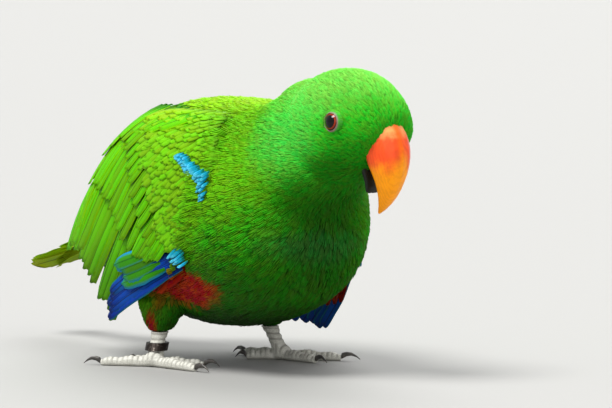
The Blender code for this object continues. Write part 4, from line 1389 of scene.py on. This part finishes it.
@dataclass
class Tail:
    """The tail: long feathers, coverts above and below, round a fleshy root."""

    slope: float = 13.0
    root: tuple[float, float, float] = (-94.4, 0.0, 49.5)
    long_rows: tuple[TailRow, ...] = (
        TailRow("tail_feather", 12, 0.0, 64.0, 9.0, 6.6, 2.9, 1.3, 1.8, 3.8, 1.0, -14.0),
    )
    upper_rows: tuple[TailRow, ...] = (
        TailRow("upper_covert", 9, 4.0, 36.0, 6.0, 4.4, 3.4, 2.2, 4.2, 3.4, 1.5, -12.0),
        TailRow("short_upper_covert", 10, -6.0, 28.0, 5.0, 4.2, 4.2, 2.8, 7.2, 5.0, 3.4, -12.0),
        TailRow("rump_covert", 11, -16.0, 22.0, 3.0, 3.8, 4.6, 3.2, 9.8, 7.5, 4.4, -12.0),
    )
    under_rows: tuple[TailRow, ...] = (
        TailRow("under_covert", 7, 0.0, 36.0, 6.0, 4.4, 4.0, 2.4, -2.6, -1.4, -0.5, -10.0),
        TailRow("short_under_covert", 8, -8.0, 26.0, 5.0, 4.4, 4.5, 2.8, -5.4, -2.4, -1.6, -10.0),
    )

    def build(self, looks: Finishes) -> None:
        """Make the tail's pieces in these materials."""
        draw = np.random.default_rng(SEED)
        for name, rows, finish, stands in (("tail_feathers", self.long_rows, looks.tail, ["tail"]),
                                           ("tail_upper_coverts", self.upper_rows, looks.tail, []),
                                           ("tail_under_coverts", self.under_rows, looks.tail_under_painted_shadow, [])):
            mesh = FeatherMesh()
            self.add_rows(mesh, rows, draw)
            finish_piece(mesh.build(name), "tail_feathers", finish, stands)

    def add_rows(self, mesh: FeatherMesh, rows: Sequence[TailRow], draw: np.random.Generator) -> None:
        """Add fans of vanes.

        Args:
            mesh: What they are added to.
            rows: The fans.
            draw: Random numbers.
        """
        slope = math.radians(self.slope)
        back = Vector((-math.cos(slope), 0, -math.sin(slope)))
        up = Vector((-math.sin(slope), 0, math.cos(slope)))
        grid = math.ceil(math.sqrt(sum(row.count for row in rows)))
        shape = VaneShape()
        done = 0
        for row in rows:
            LOG.debug("%s: %d feathers", row.name, row.count)
            outward = 1 if row.rise > 0 else -1
            for i in range(row.count):
                off = i - (row.count - 1) / 2
                across = abs(off) / (row.count / 2)
                start = (Vector(self.root) + back * row.back + Vector((0, off * row.apart, 0))
                         + up * (row.rise - row.roof * across))
                ahead = Matrix.Rotation(math.radians(off * row.spread), 3, "Z") @ back
                length = (row.length - row.shorter * across) * draw.uniform(0.97, 1.03)
                spine = [start + ahead * length * s / 8 - up * row.sag * (s / 8) ** 2 for s in range(9)]
                shape.add(mesh, spine, [up * outward] * 9, row.half, Tip.BROAD,
                          math.copysign(row.tilt, off) * outward, draw,
                          (done % grid / grid, done // grid / grid, 1 / grid))
                done += 1


# Bill, eyes and feet


def head_coordinates(item: Object) -> np.ndarray:
    """Vertices in the head's own frame, in millimetres: forward, left, up."""
    points = coordinates(item) / MM - np.array(MIDDLE) - np.array(HEAD_CENTRE)
    return points @ np.array(HEAD_TURN)


@dataclass(frozen=True)
class Horn:
    """Bill horn: smooth, hard keratin with faint growth lines and a wet-looking satin gloss."""

    name: str
    base: str
    rim: str
    ridge: str
    tip: str
    roughness: float = 0.3

    def make(self) -> Material:
        """The horn's material, by how far round the bill's curve and how near its ridge it is."""
        surface = Surface(self.name)
        around, ridge = (surface.add("Attribute", attribute_name=key, output="Fac")
                         for key in ("around", "ridge"))
        where = surface.add("TexCoord", output="Object")
        cloud = surface.add("TexNoise", Scale=220.0, Detail=4.0, Roughness=0.6, Vector=where)
        drift = surface.drift(cloud, 0.22)
        shifted = surface.add("Math", around, drift, operation="ADD")
        # on the upper bill, the ridge's colour and the tip's yellow reaching further along the ridge are a
        # painted highlight along the culmen
        raised = surface.add("Math", ridge, 0.14, operation="MULTIPLY")
        colour = surface.paint(
            self.rim, (self.base, shifted, 0.02, 0.15),
            (self.ridge, surface.add("Math", ridge, drift, operation="ADD"), 0.3, 0.9, 0.0, 0.8),
            (self.tip, surface.add("Math", shifted, raised, operation="ADD"), 0.3, 0.56))
        lines = surface.add("TexWave", Scale=260.0, Distortion=6.0, Detail=3.0, Vector=where, output="Fac")
        value = surface.product((lines, 0.0, 1.0, 0.94, 1.03), (cloud, 0.2, 0.8, 0.9, 1.08))
        colour = surface.add("HueSaturation", Color=colour, Value=value)
        return surface.finish(colour, {"Roughness": self.roughness, "Specular IOR Level": 0.22}, lines, 0.12)


@dataclass
class Bill:
    """Both halves of the bill, rounded from their solids; millimetres."""

    voxel: float = 0.4
    root: float = 64.0       # degrees round the hub where the horn's colours start
    tip: float = -37.0       # and where they end
    ridge: float = 5.0       # half the width of the ridge's band of colour, on the upper bill a painted highlight
    ridge_reach: tuple[float, float] = (16.0, 24.0)    # from the hub: where it starts and where it is full
    # its ridge colour is a painted highlight along the culmen
    upper: Horn = Horn("coral_bill_horn", "#F2501C", "#F6A058", "#F86004", "#FF9C00")
    lower: Horn = Horn("black_bill_horn", "#181E1A", "#2A2C28", "#101410", "#1C201C", roughness=0.38)

    def build(self, nodes: dict[str, Object]) -> None:
        """Make the two halves.

        Args:
            nodes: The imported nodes.
        """
        for name, horn, slot in (("bill_upper", self.upper, "coral_horn"),
                                 ("bill_lower", self.lower, "black_horn")):
            half = merged_copy(nodes[name], name + "_horn")
            round_off(half, self.voxel, 6)
            points = head_coordinates(half)
            reach = np.hypot(points[:, 0] - BILL_HUB[0], points[:, 2] - BILL_HUB[1])
            angle = np.degrees(np.arctan2(points[:, 2] - BILL_HUB[1], points[:, 0] - BILL_HUB[0]))
            set_attribute(half, "around", np.clip((self.root - angle) / (self.root - self.tip), 0, 1))
            # the ridge's band: on the upper bill a painted highlight along the culmen
            start, full = self.ridge_reach
            middle = np.clip(1 - np.abs(points[:, 1]) / self.ridge, 0, 1)
            set_attribute(half, "ridge", middle * np.clip((reach - start) / (full - start), 0, 1))
            smooth(half)
            finish_piece(half, slot, horn.make(), [name])


@dataclass
class Eye:
    """An eye with its lids; millimetres."""

    side: Side
    radius: float = 5.0
    pupil: float = 2.8
    iris: float = 3.5
    raised: float = 0.25      # the pupil's height over the middle of the lids' opening
    opening: float = 3.4      # radius of the lids' opening
    lid_thick: float = 0.36
    bulge: float = 0.25       # the cornea's height over the ball

    def build(self) -> None:
        """Make the eyeball and the lids round it."""
        name = self.side.name.lower()
        centre = eye_centre(self.side)
        turn = (HEAD_TURN @ eye_axis(self.side)).to_track_quat("Z", "Y")
        ball = add_primitive("uv_sphere", f"eyeball_{name}", segments=48, ring_count=32,
                             radius=self.radius * MM)
        around = []
        for vert in ball.data.vertices:
            reach = math.hypot(vert.co.x, vert.co.y - self.raised * MM) / MM
            if vert.co.z > 0 and reach < self.iris:
                vert.co.z += self.bulge * MM * (1 - (reach / self.iris) ** 2)
            around.append(reach if vert.co.z > 0 else self.radius)
        self.settle(ball, centre, turn)
        set_attribute(ball, "reach", np.array(around))
        smooth(ball)
        finish_piece(ball, "eye", self.finish(name), [f"eye_{name}"])
        self.build_lids(name, centre, turn)

    def build_lids(self, name: str, centre: Vector, turn: object) -> None:
        """Make the lids: a wrinkled shell over the ball with a round opening.

        Args:
            name: The side's name.
            centre: The eyeball's middle.
            turn: The way the eye looks.
        """
        lids = add_primitive("uv_sphere", f"eyelids_{name}", segments=72, ring_count=60,
                             radius=LID_REACH * MM)
        top = math.sqrt(LID_REACH ** 2 - self.opening ** 2) * MM
        for vert in lids.data.vertices:
            vert.select = vert.co.z > top or vert.co.z < -0.5 * MM
        for group in (lids.data.edges, lids.data.polygons):
            for item in group:
                item.select = any(lids.data.vertices[i].select for i in item.vertices)
        bpy.ops.object.mode_set(mode="EDIT")
        bpy.ops.mesh.select_mode(type="VERT")
        bpy.ops.mesh.delete(type="VERT")
        bpy.ops.object.mode_set(mode="OBJECT")
        for vert in lids.data.vertices:
            angle = math.atan2(vert.co.y, vert.co.x)
            reach = math.hypot(vert.co.x, vert.co.y) / MM
            fold = 0.06 * math.sin(reach * 7.5) + 0.04 * math.sin(angle * 26) + 0.05 * math.sin(angle * 7 + 1)
            vert.co *= 1 + fold / LID_REACH
        apply_modifier(lids, "SOLIDIFY", thickness=self.lid_thick * MM, offset=0.0)
        apply_modifier(lids, "SMOOTH", factor=0.5, iterations=2)
        reach = np.hypot(*coordinates(lids).T[:2]) / MM
        self.settle(lids, centre, turn)
        set_attribute(lids, "reach", reach)
        smooth(lids)
        finish_piece(lids, "eye", self.lid_finish(name))

    def lid_finish(self, name: str) -> Material:
        """Bare lid skin: a pinkish grey rim, dry and creased, green where the feathers begin."""
        surface = Surface(f"bare_eyelids_{name}")
        where = surface.add("TexCoord", output="Object")
        cells = surface.add("TexVoronoi", Scale=2600.0, Vector=where, output="Distance")
        reach = surface.add("Attribute", attribute_name="reach", output="Fac")
        colour = surface.paint("#5E4A42", ("#907468", cells), ("#2A8C14", reach, 4.1, 4.5))
        return surface.finish(colour, {"Roughness": 0.5}, cells, 0.4)

    @staticmethod
    def settle(item: Object, centre: Vector, turn: object) -> None:
        """Put a piece at its place and leave its object at the origin."""
        item.location = centre
        item.rotation_mode = "QUATERNION"
        item.rotation_quaternion = turn
        select_only(item)
        bpy.ops.object.transform_apply(location=True, rotation=True, scale=True)

    def finish(self, name: str) -> Material:
        """A wet eye: black pupil, iris with fine spokes, dark rim, clear and very smooth cornea."""
        surface = Surface(f"wet_eye_{name}")
        where = surface.add("TexCoord", output="Object")
        spokes = surface.add("TexNoise", Scale=1400.0, Detail=3.0, Vector=where)
        reach = surface.add("Attribute", attribute_name="reach", output="Fac")
        colour = surface.paint("#CC4A00", ("#8A1800", spokes),
                               ("#7A1800", reach, self.pupil + 0.3, self.pupil + 0.9, 0.6, 0.0),
                               ("#060505", reach, self.pupil - 0.1, self.pupil + 0.15, 1.0, 0.0),
                               ("#1C0A06", reach, self.iris - 0.5, self.iris + 0.1))
        return surface.finish(colour, {"Roughness": 0.04, "IOR": 1.34})


def foot_scales() -> Material:
    """Scaled foot skin: dry grey plates, powdery and pale on their crowns, darker in the creases."""
    surface = Surface("foot_scales")
    where = surface.add("TexCoord", output="Object")
    cells = surface.add("TexVoronoi", feature="DISTANCE_TO_EDGE", Scale=1300.0, Vector=where,
                        output="Distance")
    cloud = surface.add("TexNoise", Scale=260.0, Detail=5.0, Vector=where)
    plate = surface.add("Attribute", attribute_name="plate", output="Fac")
    grain = (cells, 0.0, 0.16, 0.35, 1.0)
    colour = surface.paint("#96948A", ("#C9C8BD", surface.product(grain, (plate, 0.3, 0.95))),
                           ("#D2D1C8", cloud, 0.5, 0.75, 0.0, 0.5))
    return surface.finish(colour, {"Roughness": 0.6}, surface.product(grain), 0.35)


# Where a foot's toes meet, in millimetres, and the way it points, in degrees to the bird's left
STANCE = {Side.RIGHT: ((1.0, -34.0, 0.0), 20.0), Side.LEFT: ((9.0, 30.0, 0.0), 30.0)}


@dataclass
class Foot:
    """A scaled foot with its claws; millimetres."""

    side: Side
    voxel: float = 0.36
    claw_voxel: float = 0.22
    scute: float = 2.4        # length of a scale along a toe
    relief: float = 0.5
    toes: tuple[float, ...] = (12.0, -22.0, 158.0, -160.0)    # degrees from the way the foot points
    shank: float = 7.5        # height where the shank starts over the toes

    def build(self, nodes: dict[str, Object], skin: Material, horn: Material) -> None:
        """Round the solid and raise its scales.

        Args:
            nodes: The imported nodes.
            skin: The scales' material.
            horn: The claws' material.
        """
        name = self.side.name.lower()
        hub, heading = STANCE[self.side]
        foot = merged_copy(nodes[f"foot_{name}"], f"scaled_foot_{name}")
        round_off(foot, self.voxel, 5)
        points, normals = coordinates(foot), normals_of(foot)
        flat = points / MM - np.array(MIDDLE) - np.array(hub)
        bearing = np.degrees(np.arctan2(flat[:, 1], flat[:, 0]))
        toes = np.array([heading + toe * self.side.value for toe in self.toes])
        off = np.abs((bearing[:, None] - toes[None] + 180) % 360 - 180).min(axis=1)
        on_shank = flat[:, 2] > self.shank
        run = np.where(on_shank, flat[:, 2], np.hypot(flat[:, 0], flat[:, 1]) * np.cos(np.radians(off)))
        wave = np.abs(np.sin(math.pi * run / self.scute)) ** 0.6
        upper = np.where(on_shank, 1.0, np.clip(normals[:, 2] * 1.6 + 0.4, 0.0, 1.0))
        raised = (wave - 0.75) * self.relief * MM * upper
        foot.data.vertices.foreach_set("co", (points + normals * raised[:, None]).astype(np.float32).ravel())
        foot.data.update()
        set_attribute(foot, "plate", mix(np.full(len(points), 0.8), wave, upper))
        smooth(foot)
        finish_piece(foot, "foot_skin", skin, [f"foot_{name}"])
        for toe in ("front_outer", "front_inner", "hind_outer", "hind_inner"):
            node = f"claw_{name}_{toe}"
            claw = merged_copy(nodes[node], f"{node}_horn")
            round_off(claw, self.claw_voxel, 2)
            smooth(claw)
            finish_piece(claw, "claw_horn", horn, [node])


def claw_horn() -> Material:
    """Claw keratin: dark, dense, polished by wear, with paler streaks."""
    surface = Surface("claw_horn")
    streak = surface.add("TexNoise", Scale=300.0, Detail=4.0, Vector=surface.add("TexCoord", output="Object"))
    return surface.finish(surface.paint("#2E2B28", ("#5C5750", streak, 0.35, 0.75)), {"Roughness": 0.32})


def ring_metal() -> Material:
    """A leg ring of dark oxidised aluminium, rubbed to brighter specks."""
    surface = Surface("oxidised_aluminium")
    wear = surface.add("TexNoise", Scale=900.0, Detail=5.0, Vector=surface.add("TexCoord", output="Object"))
    colour = surface.paint("#241E1A", ("#6A625A", wear, 0.55, 0.8))
    return surface.finish(colour, {"Roughness": surface.product((wear, 0.3, 0.8, 0.5, 0.3)), "Metallic": 0.8})


# The room


@dataclass
class Studio:
    """A pale floor, soft light and the camera at the photo's angle; millimetres and degrees."""

    azimuth: float = 55.0
    elevation: float = 4.0
    distance: float = 1700.0
    focal: float = 220.0
    target: tuple[float, float, float] = (23.5, 33.6, 72.0)
    # A light's name, its azimuth and elevation, how broad it looks, and its strength
    lights: tuple[tuple, ...] = (
        ("key", (2.0, 62.0), 26.0, 4.2),
        ("fill", (80.0, 24.0), 70.0, 1.0),
        ("back", (225.0, 50.0), 50.0, 2.0),
    )

    def build(self) -> None:
        """Make floor, lights, world and camera."""
        floor = add_primitive("plane", "floor", size=80.0)
        floor.data.materials.append(Surface("pale_floor").finish(linear("#949390"), {"Roughness": 0.7}))
        self.camera()
        for light in self.lights:
            self.sky_light(*light)
        world = bpy.data.worlds.new("studio")
        world.use_nodes = True
        glow = world.node_tree.nodes["Background"]
        glow.inputs["Color"].default_value = linear("#E8EAEC")
        glow.inputs["Strength"].default_value = 0.8
        bpy.context.scene.world = world
        bpy.context.scene.view_settings.view_transform = "Standard"

    @staticmethod
    def direction(azimuth: float, elevation: float) -> Vector:
        """The way from the model to a place seen at an azimuth and elevation."""
        a, e = math.radians(azimuth), math.radians(elevation)
        return Vector((math.sin(a) * math.cos(e), -math.cos(a) * math.cos(e), math.sin(e)))

    def camera(self) -> None:
        """Aim a long lens from the bird's right front."""
        data = bpy.data.cameras.new("camera")
        data.lens = self.focal
        data.sensor_width = 36.0
        data.clip_start = 0.05
        eye = bpy.data.objects.new("camera", data)
        bpy.context.scene.collection.objects.link(eye)
        way = self.direction(self.azimuth, self.elevation)
        eye.location = place(Vector(self.target)) + way * self.distance * MM
        eye.rotation_mode = "QUATERNION"
        eye.rotation_quaternion = (-way).to_track_quat("-Z", "Y")
        bpy.context.scene.camera = eye

    def sky_light(self, name: str, angles: tuple[float, float], soft: float, power: float) -> None:
        """Hang a broad, far light.

        Args:
            name: Its name.
            angles: Its azimuth and elevation.
            soft: How broad it looks, in degrees.
            power: Its strength.
        """
        data = bpy.data.lights.new(name, "SUN")
        data.angle = math.radians(soft)
        data.energy = power
        lamp = bpy.data.objects.new(name, data)
        bpy.context.scene.collection.objects.link(lamp)
        lamp.rotation_mode = "QUATERNION"
        lamp.rotation_quaternion = (-self.direction(*angles)).to_track_quat("-Z", "Y")


def main() -> None:
    """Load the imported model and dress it."""
    logging.basicConfig(level=logging.INFO, format="%(name)s: %(message)s")
    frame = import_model()
    nodes = frame["nodes"]
    Studio().build()
    looks = Finishes()
    skin = Skin().build(nodes)
    coat = Coat(skin, nodes)
    head_tracts = ("face_feathers", "crown_feathers", "cheek_feathers", "nape_feathers", "throat_feathers")
    for piece in coat.build():
        on_head = piece.name in head_tracts
        finish_piece(piece, "head_feathers" if on_head else "breast_feathers",
                     looks.head if on_head else looks.body)
    finish_piece(skin, "breast_feathers", looks.skin, Skin.flesh)
    for side in Side:
        Wing(side).build(looks, nodes)
    Tail().build(looks)
    Bill().build(nodes)
    scales = foot_scales()
    horn = claw_horn()
    for side in Side:
        Eye(side).build()
        Foot(side).build(nodes, scales, horn)
    ring = nodes["leg_ring"]
    ring.data.materials.clear()
    ring.data.materials.append(ring_metal())


if __name__ == "__main__":
    main()
